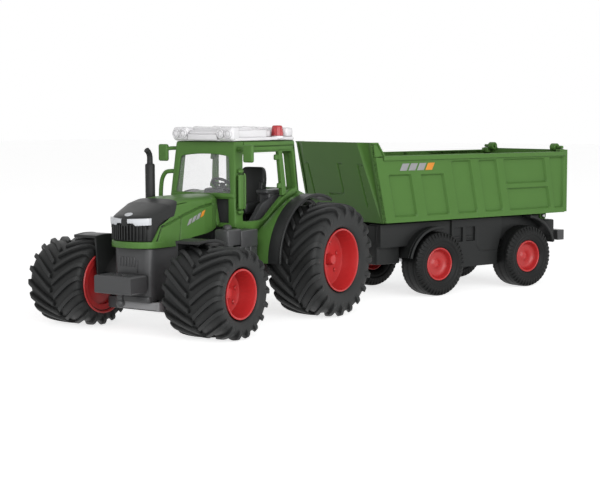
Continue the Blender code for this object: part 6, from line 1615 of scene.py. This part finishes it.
class TOY_OT_stage(bpy.types.Operator):
    """White floor, soft light and the camera at the photograph's angle."""

    bl_idname = "toy.stage"
    bl_label = "Stage"

    def execute(self, context):
        scene = context.scene
        scene.view_settings.view_transform = "Standard"
        self.world(scene)
        self.floor()
        middle = (CAD_BOX[0] + CAD_BOX[1]) / 2
        for lamp in LAMPS:
            area_lamp(*lamp, middle)
        self.camera(scene)
        return {"FINISHED"}

    def world(self, scene):
        """White to the camera, mirrors and panes; as light, a soft white that dims towards the zenith."""
        world = bpy.data.worlds.new("studio")
        world.use_nodes = True
        scene.world = world
        nodes, links = world.node_tree.nodes, world.node_tree.links
        ground = nodes["Background"]
        rays = nodes.new("ShaderNodeLightPath")
        seen = rays.outputs["Is Camera Ray"]
        for name in ("Is Glossy Ray", "Is Transmission Ray"):
            most = nodes.new("ShaderNodeMath")
            most.operation = "MAXIMUM"
            links.new(seen, most.inputs[0])
            links.new(rays.outputs[name], most.inputs[1])
            seen = most.outputs[0]
        way = nodes.new("ShaderNodeSeparateXYZ")
        links.new(nodes.new("ShaderNodeTexCoord").outputs["Generated"], way.inputs[0])
        sky, shade = (nodes.new("ShaderNodeMix") for _ in range(2))
        for mix, factor, tones in ((sky, way.outputs["Z"], SKY_TONES), (shade, seen, (0.0, 1.0))):
            mix.data_type = "RGBA"
            links.new(factor, mix.inputs["Factor"])
            mix.inputs[6].default_value, mix.inputs[7].default_value = map(plain, tones)
        links.new(sky.outputs[2], shade.inputs[6])
        links.new(shade.outputs[2], ground.inputs["Color"])

    def floor(self):
        """Broad pale sheet that shows white to the camera and keeps the object's shadow."""
        ends = np.array([-FLOOR_HALF, FLOOR_HALF])
        points, faces = sheet(grid_of(ends[:, None], ends, FLOOR_LEVEL))
        mesh = bpy.data.meshes.new("floor")
        mesh.from_pydata(points, [], faces)
        floor = bpy.data.objects.new("floor", mesh)
        bpy.context.scene.collection.objects.link(floor)
        paint = Paint("floor", Roughness=0.9, Specular_IOR_Level=0.1, Emission_Strength=1.0)
        paint.set("Base Color", paint.mix(paint.noise(3.0, 2.0), *map(plain, FLOOR_TONES)))
        camera, glossy, through = (paint.node("ShaderNodeLightPath", output=f"Is {kind} Ray")
                                   for kind in ("Camera", "Glossy", "Transmission"))
        seen = camera + glossy + through
        paint.set("Emission Color", paint.mix(seen, plain(0.0), plain(FLOOR_GLOW)))
        mesh.materials.append(paint.material)

    def camera(self, scene):
        """Camera whose view runs along the azimuth and the fall, rolled about itself."""
        sizes = settings().camera
        ahead = Vector((-math.sin(sizes.azimuth) * math.cos(sizes.fall),
                        math.cos(sizes.azimuth) * math.cos(sizes.fall), -math.sin(sizes.fall)))
        right = ahead.cross(Vector((0.0, 0.0, 1.0))).normalized()
        up = right.cross(ahead)
        turn = Matrix((right, up, -ahead)).transposed() @ Matrix.Rotation(sizes.roll, 3, "Z")
        data = bpy.data.cameras.new("photo_camera")
        data.lens = sizes.lens
        data.sensor_width = SENSOR_WIDTH
        camera = bpy.data.objects.new("photo_camera", data)
        place = Vector(TRACTOR_ORIGIN) + Vector(sizes.place)
        camera.matrix_world = Matrix.Translation(place) @ turn.to_4x4()
        scene.collection.objects.link(camera)
        scene.camera = camera


class TOY_PT_looks(bpy.types.Panel):
    """Lists the looks' settings and builders."""

    bl_idname = "TOY_PT_looks"
    bl_label = "Toy Tractor"
    bl_space_type = "VIEW_3D"
    bl_region_type = "UI"
    bl_category = "Toy Tractor"

    def draw(self, context):
        looks = context.scene.toy_looks
        for group in (looks.colours, looks.tyres, looks.camera):
            for name in group.__annotations__:
                self.layout.prop(group, name)
        for operator in BUILDERS:
            self.layout.operator(operator.bl_idname)


BUILDERS = (TOY_OT_finishes, TOY_OT_tractor_wheels, TOY_OT_trailer_wheels, TOY_OT_tipper,
            TOY_OT_trailer_frame, TOY_OT_hood, TOY_OT_cab, TOY_OT_roof, TOY_OT_fittings, TOY_OT_front_end,
            TOY_OT_softened, TOY_OT_stage)
CLASSES = (ToyColours, TyreSizes, CameraSizes, ToyLooks, *BUILDERS, TOY_PT_looks)


def register():
    for cls in CLASSES:
        bpy.utils.register_class(cls)
    bpy.types.Scene.toy_looks = bpy.props.PointerProperty(type=ToyLooks)


def unregister():
    del bpy.types.Scene.toy_looks
    for cls in reversed(CLASSES):
        bpy.utils.unregister_class(cls)


def main():
    register()
    bpy.ops.toy.finishes()
    bpy.ops.toy.tractor_wheels()
    bpy.ops.toy.trailer_wheels()
    bpy.ops.toy.tipper()
    bpy.ops.toy.trailer_frame()
    bpy.ops.toy.hood()
    bpy.ops.toy.cab()
    bpy.ops.toy.roof()
    bpy.ops.toy.fittings()
    bpy.ops.toy.front_end()
    bpy.ops.toy.softened()
    bpy.ops.toy.stage()


if __name__ == "__main__":
    main()
